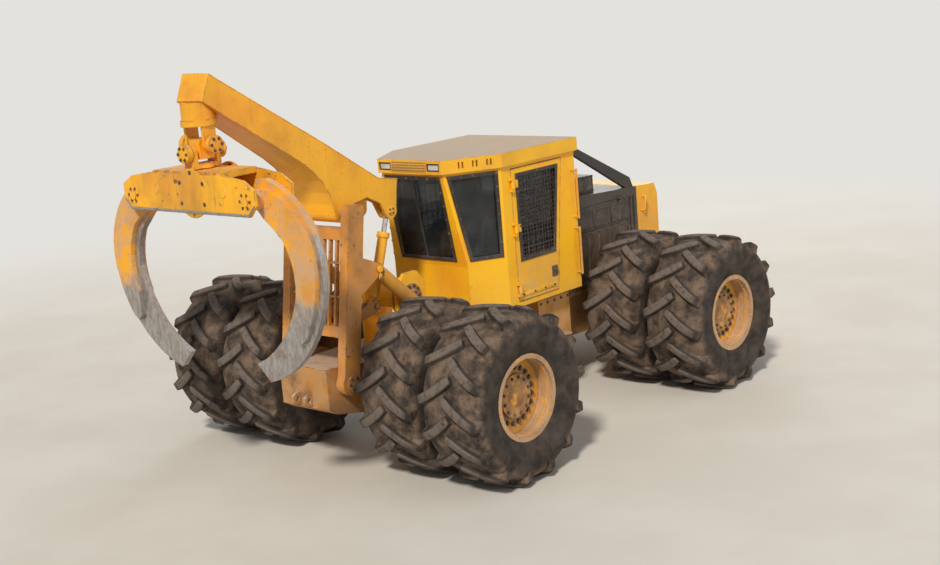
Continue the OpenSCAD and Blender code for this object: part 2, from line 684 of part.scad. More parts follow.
module blade() color(paint) at() swung_blade() {
    side_slab([[blade_back_x, blade_low + 60], [blade_back_x + 60, blade_low], [blade_back_x + 230, blade_low - 60],
        [blade_back_x + 110, blade_low + 150], [blade_back_x + 80, blade_low + 350],
        [blade_back_x + 150, blade_low + blade_h - 60], [blade_back_x + 90, blade_low + blade_h - 60],
        [blade_back_x, blade_low + 400]], blade_w);
    // Ribs on the blade's back
    for (y = [-1300, -950, 0, 950, 1300]) side_plate([[blade_back_x + 30, blade_low + 90], [blade_back_x + 30, blade_low + 620],
        [blade_back_x - 70, blade_low + 520], [blade_back_x - 70, blade_low + 220]], y - 15, 30);
    // Tube along its upper edge
    translate([blade_back_x + 20, -blade_w / 2 + 40, blade_low + blade_h - 190]) cube([90, blade_w - 80, 130]);
    both_sides() {
        // Cheek at the blade's end
        side_plate([[blade_back_x - 20, blade_low + 120], [blade_back_x + 60, blade_low - 10], [blade_back_x + 232, blade_low - 62],
            [blade_back_x + 200, blade_low + 300], [blade_back_x + 170, blade_low + blade_h - 60],
            [blade_back_x + 20, blade_low + blade_h - 60]], blade_w / 2 - 30, 30);
        // Arm
        difference() {
            side_plate([[-90, -50], [-50, -90], [400, -330], [blade_back_x + 5, -480], [blade_back_x + 5, -240],
                [400, -130], [50, 90], [-50, 90], [-90, 50]], blade_arm_y - blade_arm_t / 2, blade_arm_t);
            bar_y([0, blade_arm_y, 0], blade_pin_r + pin_gap, blade_arm_t + 2);
        }
        // Ears about the rod's eye
        for (s = [-1, 1]) side_plate([[blade_cyl_eye[0] - 50, blade_cyl_eye[1] - 40], [blade_back_x + 5, blade_cyl_eye[1] - 110],
            [blade_back_x + 5, blade_cyl_eye[1] + 110], [blade_cyl_eye[0] - 50, blade_cyl_eye[1] + 40]],
            blade_cyl_y + s * (eye_w / 2 + 21) - 15, 30);
    }
}

blade_cyl_len = norm(blade_cyl_end - blade_cyl_foot);
module blade_barrels() color(paint) at() both_sides()
    along(blade_cyl_foot, blade_cyl_end, blade_cyl_y) barrel(670, blade_barrel_r, blade_rod_r);
module blade_rods() color(steel) at() both_sides()
    along(blade_cyl_foot, blade_cyl_end, blade_cyl_y) rod(252, blade_cyl_len, blade_rod_r);

// Winch

winch_x = -1420;
winch_z = 1690;
drum_r = 150;
module winch() color(paint) at() {
    // Drum between two flanges, on a shaft
    bar_y([winch_x, 0, winch_z], drum_r, 502);
    for (s = [-1, 1]) bar_y([winch_x, s * 215, winch_z], drum_r + 85, 30);
    both_sides() side_plate([[-1640, frame_top + seat_gap], [-1200, frame_top + seat_gap], [-1180, 1800], [-1300, 1960],
        [-1500, 1960], [-1640, 1800]], 250, 50);
}

// Steering cylinders

steer_rod_r = 30;
steer_len = steer_foot_x - steer_eye_x;
// A steering cylinder's line: from its pin in the front frame, to the rear
module steer_line() translate([steer_foot_x, steer_y, steer_z]) rotate([90, 0, 180]) children();
module steer_barrel(side) color(dusty) at() scale([1, side, 1]) steer_line() barrel(560, steer_barrel_r, steer_rod_r);
module steer_barrel_right() steer_barrel(-1);
module steer_barrel_left() steer_barrel(1);
module steer_rod(side) color(steel) at() scale([1, side, 1]) steer_line() rod(300, steer_len, steer_rod_r);
module steer_rod_right() steer_rod(-1);
module steer_rod_left() steer_rod(1);

// Arch

arch_pin = [arch_x, arch_z];
boom_pin = [boom_x, boom_z];
arch_pin_r = 55;
boom_tube_r = 80;
arch_lean = atan2(boom_x - arch_x, boom_z - arch_z);
arch_len = norm(boom_pin - arch_pin);
column_y = tail_half_w + column_gap;
arch_cyl_top = [-2075, 2150];
arch_cyl_foot = [-1150, 1315];
arch_cyl_y = 445;
arch_rod_r = 45;
boom_cyl_foot = [-1960, 1700];
boom_cyl_top = [-1610, 2690];
boom_cyl_y = 230;
boom_rod_r = 28;

// Children drawn from the arch's pivot, with Z along its columns
module arch_frame() translate([arch_x, 0, arch_z]) rotate([0, arch_lean, 0]) children();

// Two ear plates about an eye at p, from y - w to y + w, reaching back to the two points at their root
module ear_pair(p, root, y, r, t = 30) {
    for (s = [-1, 1]) {
        side_plate([root[0], p + [0, -r], p + [r * 0.7, -r * 0.7], p + [r, 0], p + [r * 0.7, r * 0.7], p + [0, r], root[1]],
            y + s * (eye_w / 2 + 6 + t / 2) - t / 2, t);
    }
}

module arch() color(paint) at() {
    between = 2 * (column_y - seat_gap);
    arch_frame() {
        both_sides() difference() {
            union() {
                translate([-column_d / 2, column_y, 0]) cube([column_d, column_w, arch_len + 90]);
                bar_y([0, column_y + column_w / 2, 0], 130, column_w);
            }
            bar_y([0, column_y + column_w / 2, 0], arch_pin_r + pin_gap, column_w + 2);
        }
        // Top tube, on which the boom turns, and two crossbeams, all bolted between the columns
        bar_y([0, 0, arch_len], boom_tube_r, between);
        translate([-column_d / 2 + 10, -between / 2, arch_len - 290]) cube([column_d - 20, between, 130]);
        translate([-column_d / 2 + 10, -between / 2, 480]) cube([column_d - 20, between, 120]);
        // Grille of upright bars with two rails, set in between the crossbeams and the columns
        for (i = [-3:3]) translate([-column_d / 2 + 20, i * 100 - 15, 600 + seat_gap])
            cube([40, 30, arch_len - 890 - 2 * seat_gap]);
        for (z = [900, 1260]) translate([-column_d / 2 + 26, -between / 2, z]) cube([26, between, 26]);
    }
    both_sides() {
        // Ears and pins of the arch cylinders, on the columns
        ear_pair(arch_cyl_top, [[-2400, 1900], [-2340, 2330]], arch_cyl_y, 70, 24);
        bar_y([arch_cyl_top[0], arch_cyl_y, arch_cyl_top[1]], eye_pin_r, eye_w + 100);
        // Ears and pins of the boom cylinders, on the lower crossbeam
        ear_pair(boom_cyl_foot, [[-2480, 1505], [-2465, 1600]], boom_cyl_y, 70, 24);
        bar_y([boom_cyl_foot[0], boom_cyl_y, boom_cyl_foot[1]], eye_pin_r, eye_w + 100);
    }
}

arch_cyl_len = norm(arch_cyl_foot - arch_cyl_top);
module arch_barrels() color(dusty) at() both_sides() along(arch_cyl_top, arch_cyl_foot, arch_cyl_y)
    barrel(920, arch_barrel_r, arch_rod_r);
module arch_rods() color(steel) at() both_sides() along(arch_cyl_top, arch_cyl_foot, arch_cyl_y)
    rod(285, arch_cyl_len, arch_rod_r);

// Boom

boom_top = [[hang_x + 30, hang_z + 690], [boom_x + 570, boom_z + 285], [boom_x + 860, boom_z + 230],
    [boom_x + 830, boom_z + 100]];
boom_under = [[boom_x - 120, boom_z + 100], [boom_x - 160, boom_z + 230], [boom_x - 240, boom_z + 370],
    [boom_x - 370, boom_z + 520], [boom_x - 520, boom_z + 640], [hang_x - 80, hang_z + 430]];
swing_pin_r = 50;
swing_lug_y = 115;
swing_lug_t = 55;

module boom() color(paint) at() {
    difference() {
        intersection() {
            side_slab(concat(boom_top, arc(boom_cyl_top, 85, 10, -160, 10), [[-1760, 2800], [-1950, 2900], [-2150, 2870]],
                arc(boom_pin, 110, -10, -170, 12), boom_under), 2 * boom_heel_half + 10);
            plan_plate([[hang_x - 250, -boom_tip_half], [hang_x + 150, -boom_tip_half], [boom_x - 170, -boom_heel_half],
                [boom_x + 1130, -boom_heel_half], [boom_x + 1130, boom_heel_half], [boom_x - 170, boom_heel_half],
                [hang_x + 150, boom_tip_half], [hang_x - 250, boom_tip_half]], boom_z - 800, 3000);
        }
        bar_y([boom_x, 0, boom_z], boom_tube_r + pin_gap, 1000);
        // Slots for the rods' eyes, and the opening between them
        both_sides() translate([-1950, boom_cyl_y - eye_w / 2 - 6, 2400]) cube([600, eye_w + 12, 590]);
        translate([-2160, -boom_cyl_y + 65, 2400]) cube([800, 2 * boom_cyl_y - 130, 560]);
    }
    // Stubs of the pins beside the rods' eyes
    both_sides() for (s = [-1, 1])
        bar_y([boom_cyl_top[0], boom_cyl_y + s * (eye_w / 2 + 20), boom_cyl_top[1]], 50, 30);
    // Swivel boss below the tip, and the two lugs of the swing
    bar_z([hang_x, 0, hang_z + 320], 165, 200);
    bar_z([hang_x, 0, hang_z + 215], 180, 60);
    both_sides() difference() {
        union() {
            translate([hang_x - 75, swing_lug_y, hang_z]) cube([150, swing_lug_t - 15, 190]);
            bar_y([hang_x, swing_lug_y + swing_lug_t / 2, hang_z], 75, swing_lug_t);
        }
        bar_y([hang_x, swing_lug_y + swing_lug_t / 2, hang_z], swing_pin_r + pin_gap, swing_lug_t + 2);
    }
}

boom_cyl_len = norm(boom_cyl_top - boom_cyl_foot);
module boom_barrels() color(paint) at() both_sides() along(boom_cyl_foot, boom_cyl_top, boom_cyl_y)
    barrel(810, boom_barrel_r, boom_rod_r);
module boom_rods() color(steel) at() both_sides() along(boom_cyl_foot, boom_cyl_top, boom_cyl_y)
    rod(240, boom_cyl_len, boom_rod_r);

// Grapple

side_swing_z = hang_z - 70;
cover_t = 60;
cover_r = 92;
cover_gap = 6;
stem_r = 70;
head_top = 260;
module swing_cross() color(paint) at() {
    cover_at = swing_lug_y + swing_lug_t + cover_gap;
    bar_y([hang_x, 0, hang_z], swing_pin_r, 2 * cover_at + 2);
    both_sides() bar_y([hang_x, cover_at + cover_t / 2, hang_z], cover_r, cover_t);
    bar_x([hang_x, 0, side_swing_z], swing_pin_r, 2 * cover_at + 2);
    for (s = [-1, 1]) bar_x([hang_x + s * (cover_at + cover_t / 2), 0, side_swing_z], cover_r, cover_t);
    translate([hang_x - 85, -85, side_swing_z - 70]) cube([170, 170, 200]);
}
module rotator() color(paint) at() {
    low = tong_z + head_top + side_gap;
    translate([hang_x, 0, low]) cylinder(h = 45, r = 110);
    translate([hang_x - swing_lug_y - swing_lug_t, -75, low]) cube([2 * (swing_lug_y + swing_lug_t), 150, 50]);
    for (s = [-1, 1]) difference() {
        union() {
            translate([hang_x + s * (swing_lug_y + swing_lug_t / 2) - swing_lug_t / 2, -75, low + 1])
                cube([swing_lug_t, 150, side_swing_z - low - 1]);
            bar_x([hang_x + s * (swing_lug_y + swing_lug_t / 2), 0, side_swing_z], 75, swing_lug_t);
        }
        bar_x([hang_x, 0, side_swing_z], swing_pin_r + pin_gap, 600);
    }
    // Stem through the head's top plate, with the disc that carries the head
    bar_z([hang_x, 0, low - 55], stem_r, 112);
    bar_z([hang_x, 0, low - 100], 120, 30);
}

tong_pin_r = 50;
module grapple_head() color(paint) at() translate([hang_x, 0, tong_z]) {
    half = tong_span / 2;
    for (s = [-1, 1]) {
        translate([s * (head_d - head_plate) / 2, 0, 0])
            cross_plate([[-half - 150, -40], [-half - 50, -150], [half + 50, -150], [half + 150, -40],
                [half + 150, 110], [half, 200], [half - 330, head_top - 14], [-half + 330, head_top - 14], [-half, 200],
                [-half - 150, 110]], -head_plate / 2, head_plate);
        // Pins of the tongs
        bar_x([0, s * half, 0], tong_pin_r, head_d + 24);
    }
    // Top and bottom plates between the two side plates
    difference() {
        translate([-head_d / 2 + head_plate - 5, -half + 340, head_top - 60])
            cube([head_d - 2 * head_plate + 10, 2 * half - 680, 60]);
        bar_z([0, 0, head_top], stem_r + pin_gap, 130);
    }
    translate([-head_d / 2 + 1, -half + 260, -150]) cube([head_d - 2, 2 * half - 520, 30]);
}

// Outline of a tong from its pin: an outer edge of two arcs, an inner edge of two, and its lever's end
tong_outline = concat(arc([-160, -700], 910, 66, -10, 10), arc([-495, -641], 1250, -18, -75, 8),
    arc([-770, -609], 1150, -68, -20, 6), arc([-300, -780], 650, -12, 35, 5), [[-60, -130], [-110, 0], [-70, 180], [60, 190]]);

// Box that stiffens a tong on both faces, set in from its edges and ending in a blunt point
tong_box_t = 60;
tong_box = concat(arc([-160, -700], 860, 64, -8, 8), arc([-495, -641], 1195, -20, -36, 5),
    [[400, -1390], [350, -1330]], arc([-300, -780], 715, -24, 38, 6), [[60, -190], [-50, -70], [-20, 100]]);

module tong(side) color(paint) at() translate([hang_x, 0, tong_z]) scale([1, side, 1]) translate([0, tong_span / 2, 0]) {
    boss_w = head_d - 2 * head_plate - 2 * side_gap;
    difference() {
        union() {
            cross_plate(tong_outline, -tong_t / 2, tong_t);
            cross_plate(tong_box, -tong_t / 2 - tong_box_t, tong_t + 2 * tong_box_t);
            bar_x([0, 0, 0], 100, boss_w);
        }
        bar_x([0, 0, 0], tong_pin_r + pin_gap, boss_w + 2);
    }
}
module tong_right() tong(-1);
module tong_left() tong(1);

front_frame();
front_axle();
cab_shell();
cab_roof();
cab_glass();
cab_interior();
cab_door_right();
cab_door_left();
access_steps();
engine();
hood();
grille();
engine_door_right();
engine_door_left();
intake_box();
limb_risers();
blade();
blade_barrels();
blade_rods();
rear_frame();
rear_axle();
winch();
steer_barrel_right();
steer_barrel_left();
steer_rod_right();
steer_rod_left();
arch();
arch_barrels();
arch_rods();
boom();
boom_barrels();
boom_rods();
swing_cross();
rotator();
grapple_head();
tong_right();
tong_left();
tyres_front_right();
tyres_front_left();
tyres_rear_right();
tyres_rear_left();
rims_front_right();
rims_front_left();
rims_rear_right();
rims_rear_left();
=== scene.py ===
import math
import bpy
from mathutils import Matrix, Vector


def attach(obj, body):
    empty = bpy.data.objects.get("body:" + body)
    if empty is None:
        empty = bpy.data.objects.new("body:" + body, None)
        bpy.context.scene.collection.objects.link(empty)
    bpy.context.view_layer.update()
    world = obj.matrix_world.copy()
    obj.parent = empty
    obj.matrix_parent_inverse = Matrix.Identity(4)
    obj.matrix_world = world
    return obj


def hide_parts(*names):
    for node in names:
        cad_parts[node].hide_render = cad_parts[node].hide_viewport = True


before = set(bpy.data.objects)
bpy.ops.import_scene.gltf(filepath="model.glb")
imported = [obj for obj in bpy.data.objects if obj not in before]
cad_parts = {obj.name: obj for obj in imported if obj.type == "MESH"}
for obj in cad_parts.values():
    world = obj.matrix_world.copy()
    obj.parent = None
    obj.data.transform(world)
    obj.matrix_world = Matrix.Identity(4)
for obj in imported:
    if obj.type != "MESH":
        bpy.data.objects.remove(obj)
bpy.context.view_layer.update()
print("frame loaded:", len(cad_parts), "nodes")

# Lengths along the machine start at the frame's hinge, and the wheels' axes stand axleX before and behind it
hitchX = 0.020
axleX = 1.95
axleZ = 0.925
sides = ((-1, "right"), (1, "left"))


def srgb(code):
    # hex as seen on screen -> linear colour
    parts = [int(code[i:i + 2], 16) / 255 for i in (0, 2, 4)]
    return tuple(c / 12.92 if c <= 0.04045 else ((c + 0.055) / 1.055) ** 2.4 for c in parts) + (1.0,)


# the setting that a single word stands for
mainSetting = {
    "Math": "operation", "VectorMath": "operation", "MapRange": "interpolation_type", "Mix": "data_type",
}
timesPlus = {"operation": "MULTIPLY_ADD", "use_clamp": True}


def addNode(tree, kind, settings=None, inputs=None, output=0):
    # settings are the node's own, inputs are values or sockets to link from, and one of its outputs comes back
    node = tree.nodes.new("ShaderNode" + kind)
    if isinstance(settings, str):
        settings = {mainSetting[kind]: settings}
    for name, value in (settings or {}).items():
        setattr(node, name, value)
    for name, value in (inputs or {}).items():
        if isinstance(value, bpy.types.NodeSocket):
            tree.links.new(value, node.inputs[name])
        else:
            node.inputs[name].default_value = value
    return None if output is None else node.outputs[output]


def startMaterial(name):
    material = bpy.data.materials.new(name)
    material.use_nodes = True
    tree = material.node_tree
    tree.nodes.clear()
    return material, tree, addNode(tree, "TexCoord", output="Object")


def finishMaterial(material, inputs):
    shader = addNode(material.node_tree, "BsdfPrincipled", {}, inputs)
    addNode(material.node_tree, "OutputMaterial", {}, {"Surface": shader}, None)
    return material


def layCoats(tree, coat, *layers):
    # each layer is a mask and a colour, and hides what is below where its mask is 1
    coat = srgb(coat) if isinstance(coat, str) else coat
    for mask, colour in layers:
        colour = srgb(colour) if isinstance(colour, str) else colour
        coat = addNode(tree, "Mix", "RGBA", {0: mask, 6: coat, 7: colour}, 2)
    return coat


def speckle(place, size, low, high, detail=4.0, stretch=(1, 1, 1)):
    # a soft-edged pattern whose lumps are about size metres, cut between low and high
    tree = place.id_data
    scaled = addNode(tree, "Mapping", {}, {"Vector": place, "Scale": [s / size for s in stretch]})
    noise = addNode(tree, "TexNoise", {}, {"Vector": scaled, "Scale": 1.0, "Detail": detail, "Roughness": 0.6})
    return addNode(tree, "MapRange", "SMOOTHSTEP", {"Value": noise, "From Min": low, "From Max": high})


def wheelRadius(tree, place):
    # distance from the wheel's own axis, the same for all four corners
    x, z = (addNode(tree, "SeparateXYZ", {}, {0: place}, axis) for axis in "XZ")
    along = addNode(tree, "Math", "SUBTRACT", {0: x, 1: hitchX})
    along = addNode(tree, "Math", "ABSOLUTE", {0: along})
    along = addNode(tree, "Math", "SUBTRACT", {0: along, 1: axleX})
    height = addNode(tree, "Math", "SUBTRACT", {0: z, 1: axleZ})
    spoke = addNode(tree, "CombineXYZ", {}, {"X": along, "Y": height})
    return addNode(tree, "VectorMath", "LENGTH", {0: spoke}, "Value")


def boxMask(tree, place, low, high):
    # 1 inside a box and its mirror image on the machine's other side
    inside = 1.0
    for axis, a, b in zip("XYZ", low, high):
        value = addNode(tree, "SeparateXYZ", {}, {0: place}, axis)
        if axis == "Y":
            value = addNode(tree, "Math", "ABSOLUTE", {0: value})
        near = addNode(tree, "Math", "COMPARE", {0: value, 1: (a + b) / 2, 2: (b - a) / 2})
        inside = addNode(tree, "Math", "MULTIPLY", {0: inside, 1: near})
    return inside


# Sprayed alkyd enamel on steel plate that works in the woods: a half-gloss coat, faded in patches,
# tan dust that lies thick low down and on top faces, thin brown runs, and edges rubbed to dark primer
enamelLook = {
    # patterns: size in metres, where they are cut, and for some the detail and the stretch
    "fade": (0.55, 0.42, 0.68), "run": (0.022, 0.60, 0.74, 3.0, (1, 1, 0.022 / 0.45)),
    "runPatch": (0.5, 0.45, 0.6), "grime": (0.75, 0.46, 0.72, 7.0, (1, 1, 0.45)),
    "dustLump": (0.16, 0.30, 0.66, 6.0), "dustGrain": (0.018, 0.35, 0.75, 5.0),
    "edgePatch": (0.09, 0.40, 0.56, 6.0),
    "chipGroup": (0.42, 0.44, 0.62, 3.0), "scrape": (0.010, 0.66, 0.71, 3.0, (0.12, 0.12, 1)),
    "barePatch": (0.05, 0.50, 0.60), "hubSoilAndShade": (0.10, 0.30, 0.55, 7.0), "lipDust": (0.08, 0.25, 0.50, 7.0),
    "dustReach": 0.9, "lip": (0.385, 0.397), "edgeWidth": 0.020, "peel": 0.006, "dent": 0.22, "dusty": 0.9,
    "dustColour": "C7A27E", "topColour": "B3A595", "runColour": "8A5A2B", "primer": "4A3526",
    # the hub brown stands for soil and rust, and also for painted shade in the wheel's deep dish
    "grimeColour": "5E4630", "bare": "9A938D", "guard": "201E1D", "hubSoilAndShadeColour": "7A4C28", "lipColour": "9C8A7B",
}


def enamel(name, colour, faded, dustHeight, dustShare, gloss=0.38, wear=0.5, runs=0.5, topDust=0.6, second=None,
           chips=0.3, grime=0.25, soil=None, box=None, hub=None, cover=0.0, chipSize=0.030, chipCut=0.64):
    look = enamelLook
    material, tree, place = startMaterial(name)
    normal = addNode(tree, "NewGeometry", output="Normal")
    height = addNode(tree, "SeparateXYZ", {}, {0: place}, "Z")
    upward = addNode(tree, "SeparateXYZ", {}, {0: normal}, "Z")
    fade = speckle(place, *look["fade"])
    layers = [(fade, faded)]
    if second:
        # another colour and its faded one, behind a joint at second[2], in metres along the machine
        along = addNode(tree, "SeparateXYZ", {}, {0: place}, "X")
        behind = addNode(tree, "MapRange", {},
                         {"Value": along, "From Min": second[2] + 0.001, "From Max": second[2] - 0.001})
        layers.append((behind, layCoats(tree, second[0], (fade, second[1]))))
    if box:
        # the guard's bars are painted black
        layers.append((boxMask(tree, place, *box), look["guard"]))
    if hub:
        # dried soil and rust about the hub, together with painted shade of the wheel's deep dish, out to hub
        # metres, and grey-tan dust on the rim's lip
        radius = wheelRadius(tree, place)
        middle = addNode(tree, "MapRange", "SMOOTHSTEP",
                         {"Value": radius, "From Min": hub + 0.03, "From Max": hub - 0.06, "To Max": 0.9})
        lip = addNode(tree, "MapRange", {},
                      {"Value": radius, "From Min": look["lip"][0], "From Max": look["lip"][1], "To Max": 0.75})
        # the hub ring's darker brown is partly painted shade of the deep dish; the lip ring is dust
        for share, lumps, hue in ((middle, "hubSoilAndShade", "hubSoilAndShadeColour"), (lip, "lipDust", "lipColour")):
            ringCoatMask = addNode(tree, "Math", "MULTIPLY", {0: share, 1: speckle(place, *look[lumps])})
            layers.append((ringCoatMask, look[hue]))
    # runs go straight down
    run = speckle(place, *look["run"])
    for share in (speckle(place, *look["runPatch"]), runs):
        run = addNode(tree, "Math", "MULTIPLY", {0: run, 1: share})
    layers.append((run, look["runColour"]))
    # oily grime in broad soft patches, streaked downwards
    stain = addNode(tree, "Math", "MULTIPLY", {0: speckle(place, *look["grime"]), 1: grime})
    layers.append((stain, look["grimeColour"]))
    # dust: more below dustHeight, more on faces that look up
    low = addNode(tree, "MapRange", "SMOOTHSTEP", {"Value": height, "From Min": dustHeight + look["dustReach"],
                                                   "From Max": dustHeight - look["dustReach"]})
    top = addNode(tree, "MapRange", "SMOOTHSTEP",
                  {"Value": upward, "From Min": 0.3, "From Max": 0.95, "To Max": topDust})
    lie = addNode(tree, "Math", "MAXIMUM", {0: low, 1: top})
    lumps, grains = (speckle(place, *look[key]) for key in ("dustLump", "dustGrain"))
    clumps = addNode(tree, "Math", timesPlus, {0: grains, 1: 0.35, 2: lumps})
    clumps = addNode(tree, "Math", "ADD", {0: clumps, 1: cover})
    dust = addNode(tree, "Math", "MULTIPLY", {0: lie, 1: clumps})
    dust = addNode(tree, "Math", timesPlus, {0: dust, 1: dustShare, 2: 0.04})
    layers.append((dust, layCoats(tree, soil or look["dustColour"], (top, look["topColour"]))))
    # edges rubbed where the rounded normal leaves the flat one
    rounded = addNode(tree, "Bevel", {"samples": 4}, {"Radius": look["edgeWidth"]})
    same = addNode(tree, "VectorMath", "DOT_PRODUCT", {0: rounded, 1: normal}, "Value")
    rub = addNode(tree, "MapRange", {}, {"Value": same, "From Min": 0.97, "From Max": 0.80})
    for share in (speckle(place, *look["edgePatch"]), wear):
        rub = addNode(tree, "Math", "MULTIPLY", {0: rub, 1: share})
    # chips and scrapes down to primer, in groups
    small = speckle(place, chipSize, chipCut, chipCut + 0.03)
    bits = addNode(tree, "Math", "MAXIMUM", {0: small, 1: speckle(place, *look["scrape"])})
    for share in (speckle(place, *look["chipGroup"]), chips):
        bits = addNode(tree, "Math", "MULTIPLY", {0: bits, 1: share})
    rub = addNode(tree, "Math", "MAXIMUM", {0: rub, 1: bits})
    layers.append((rub, layCoats(tree, look["primer"], (speckle(place, *look["barePatch"]), look["bare"]))))
    # peel of the spray, dents of the plate, and the dust's own grit
    peel = addNode(tree, "TexNoise", {}, {"Vector": place, "Scale": 1 / look["peel"], "Detail": 2.0})
    dents = addNode(tree, "TexNoise", {}, {"Vector": place, "Scale": 1 / look["dent"], "Detail": 2.0})
    skin = addNode(tree, "Bump", {}, {"Height": peel, "Strength": 0.05, "Distance": 0.002})
    skin = addNode(tree, "Bump", {}, {"Height": dents, "Strength": 0.16, "Distance": 0.02, "Normal": skin})
    skin = addNode(tree, "Bump", {}, {"Height": dust, "Strength": 0.25, "Distance": 0.003, "Normal": skin})
    rough = addNode(tree, "MapRange", {}, {"Value": dust, "To Min": gloss, "To Max": look["dusty"]})
    return finishMaterial(material, {"Base Color": layCoats(tree, colour, *layers), "Roughness": rough,
                                     "Normal": skin})


yellowEnamel = enamel("yellowEnamel", "FFC004", "FBB00C", 1.15, 0.5, 0.40, 0.55, 0.35, 0.45, chips=0.35,
                      grime=0.14)
doorEnamel = enamel("doorEnamel", "FFC004", "FBB00C", 1.50, 0.95, 0.40, 0.55, 0.35, 0.45, chips=0.35,
                    grime=0.14, box=((hitchX - 0.10, 0.779, 1.85), (hitchX + 0.69, 0.803, 2.88)))
roofEnamel = enamel("roofEnamel", "F8BC10", "EFB020", 0.9, 1.5, 0.45, 0.55, 0.35, 0.85, chips=0.35, grime=0.14,
                    cover=0.5)
boomEnamel = enamel("boomEnamel", "FDB60C", "F0A010", 1.0, 0.45, 0.40, 0.75, 0.6, 0.4, chips=0.6)
headEnamel = enamel("headEnamel", "FDB810", "F2A628", 1.3, 0.6, 0.42, 1.0, 0.8, chips=0.9, grime=0.50,
                    chipSize=0.075, chipCut=0.60)
archEnamel = enamel("archEnamel", "E69A24", "BC7A34", 2.6, 0.75, 0.55, 1.0, 0.9, 0.7, chips=0.8, grime=0.85,
                    soil="C6925F", chipSize=0.060, chipCut=0.61)
hoodEnamel = enamel("hoodEnamel", "FBB81C", "F2A824", 1.4, 0.55, wear=0.55, runs=0.4, topDust=0.35, grime=0.15,
                    second=("2C2827", "3A3330", hitchX + 2.60))
dustyEnamel = enamel("dustyEnamel", "E8A21C", "CC9034", 1.7, 0.9, 0.55, 0.7, 0.6, 0.9, chips=0.5, grime=0.45,
                     soil="C69A6C")
frameEnamel = enamel("frameEnamel", "CC861C", "8A6030", 2.0, 1.0, 0.6, 0.8, 0.9, 1.0, chips=0.5, grime=0.7,
                     soil="B58A5E")
blackEnamel = enamel("blackEnamel", "1E1C1B", "2C2826", 1.8, 0.55, 0.42, 0.3, 0.12, 0.25, chips=0.2, grime=0.1,
                     soil="8C7C6C")
rimEnamel = enamel("rimEnamel", "F8AE14", "E09A20", 1.0, 0.5, 0.42, 0.8, 0.6, 0.5, chips=0.9, grime=0.45,
                   hub=0.31)
print("enamels made")


def wornSteel(name, colour, polished, rough):
    # rolled steel that logs and seals keep bright: grey with long fine scratches, brown rust in the low spots
    material, tree, place = startMaterial(name)
    scratches = speckle(place, 0.012, 0.42, 0.62, 6.0, (0.25, 1, 1))
    rust = speckle(place, 0.11, 0.56, 0.70, 8.0)
    return finishMaterial(material, {
        "Base Color": layCoats(tree, colour, (scratches, polished), (rust, "7A5A41")),
        "Metallic": addNode(tree, "MapRange", {}, {"Value": rust, "To Min": 0.75, "To Max": 0.0}),
        "Roughness": addNode(tree, "MapRange", {}, {"Value": rust, "To Min": rough, "To Max": 0.85}),
        "Normal": addNode(tree, "Bump", {}, {"Height": scratches, "Strength": 0.15, "Distance": 0.001}),
    })


scrapedSteel = wornSteel("scrapedSteel", "8F8B88", "B9B5B2", 0.42)
rodChrome = wornSteel("rodChrome", "B8B8BA", "D0D0D2", 0.22)      # hard chrome, the brightest of the metals

# Enamel that is left on a tong's box and shoulder; the blade below is bare plate, scraped bright by logs.
# The box stands out from the plate's faces, and the coat ends raggedly at two heights
tongLook = {
    "middleX": hitchX - 3.85, "plateFace": (0.037, 0.041), "boxFoot": (2.35, 2.62), "shoulder": (3.05, 3.30),
    "ragged": 0.12, "raggedBy": 0.5, "chip": (0.05, 0.62, 0.70, 6.0), "rust": (0.16, 0.52, 0.80, 8.0),
    "scratch": (0.010, 0.35, 0.70, 6.0, (1, 0.3, 0.10)), "dust": (0.16, 0.34, 0.66, 6.0), "dustShare": 0.9,
    "steel": "938D89", "bright": "B7B2AF", "rustColour": "8A6648", "paint": "F5AC18", "faded": "D39236",
}


def makeTongCoat():
    look = tongLook
    material, tree, place = startMaterial("tongCoat")
    x, z = (addNode(tree, "SeparateXYZ", {}, {0: place}, axis) for axis in "XZ")
    off = addNode(tree, "Math", "SUBTRACT", {0: x, 1: look["middleX"]})
    off = addNode(tree, "Math", "ABSOLUTE", {0: off})
    ragged = addNode(tree, "TexNoise", {}, {"Vector": place, "Scale": 1 / look["ragged"], "Detail": 6.0})
    height = addNode(tree, "Math", "MULTIPLY_ADD", {0: ragged, 1: look["raggedBy"], 2: z})
    proud, held, high = (
        addNode(tree, "MapRange", kind, {"Value": value, "From Min": look[key][0], "From Max": look[key][1]})
        for value, key, kind in ((off, "plateFace", "LINEAR"), (height, "boxFoot", "SMOOTHSTEP"),
                                 (height, "shoulder", "SMOOTHSTEP")))
    painted = addNode(tree, "Math", "MULTIPLY", {0: proud, 1: held})
    painted = addNode(tree, "Math", "MAXIMUM", {0: painted, 1: high})
    whole = addNode(tree, "Math", "SUBTRACT", {0: 1.0, 1: speckle(place, *look["chip"])})
    painted = addNode(tree, "Math", "MULTIPLY", {0: painted, 1: whole})
    scratches, rust = (speckle(place, *look[key]) for key in ("scratch", "rust"))
    steel = layCoats(tree, look["steel"], (scratches, look["bright"]), (rust, look["rustColour"]))
    dust = addNode(tree, "Math", "MULTIPLY", {0: speckle(place, *look["dust"]), 1: look["dustShare"]})
    paint = layCoats(tree, look["paint"], (speckle(place, *enamelLook["fade"]), look["faded"]),
                     (dust, enamelLook["dustColour"]))
    step = addNode(tree, "Bump", {}, {"Height": painted, "Strength": 0.3, "Distance": 0.001})
    return finishMaterial(material, {
        "Base Color": layCoats(tree, steel, (painted, paint)),
        "Metallic": addNode(tree, "MapRange", {}, {"Value": painted, "To Min": 0.55, "To Max": 0.0}),
        "Roughness": addNode(tree, "MapRange", {}, {"Value": painted, "To Min": 0.42, "To Max": 0.5}),
        "Normal": addNode(tree, "Bump", {},
                          {"Height": scratches, "Strength": 0.12, "Distance": 0.001, "Normal": step}),
    })


tongCoat = makeTongCoat()
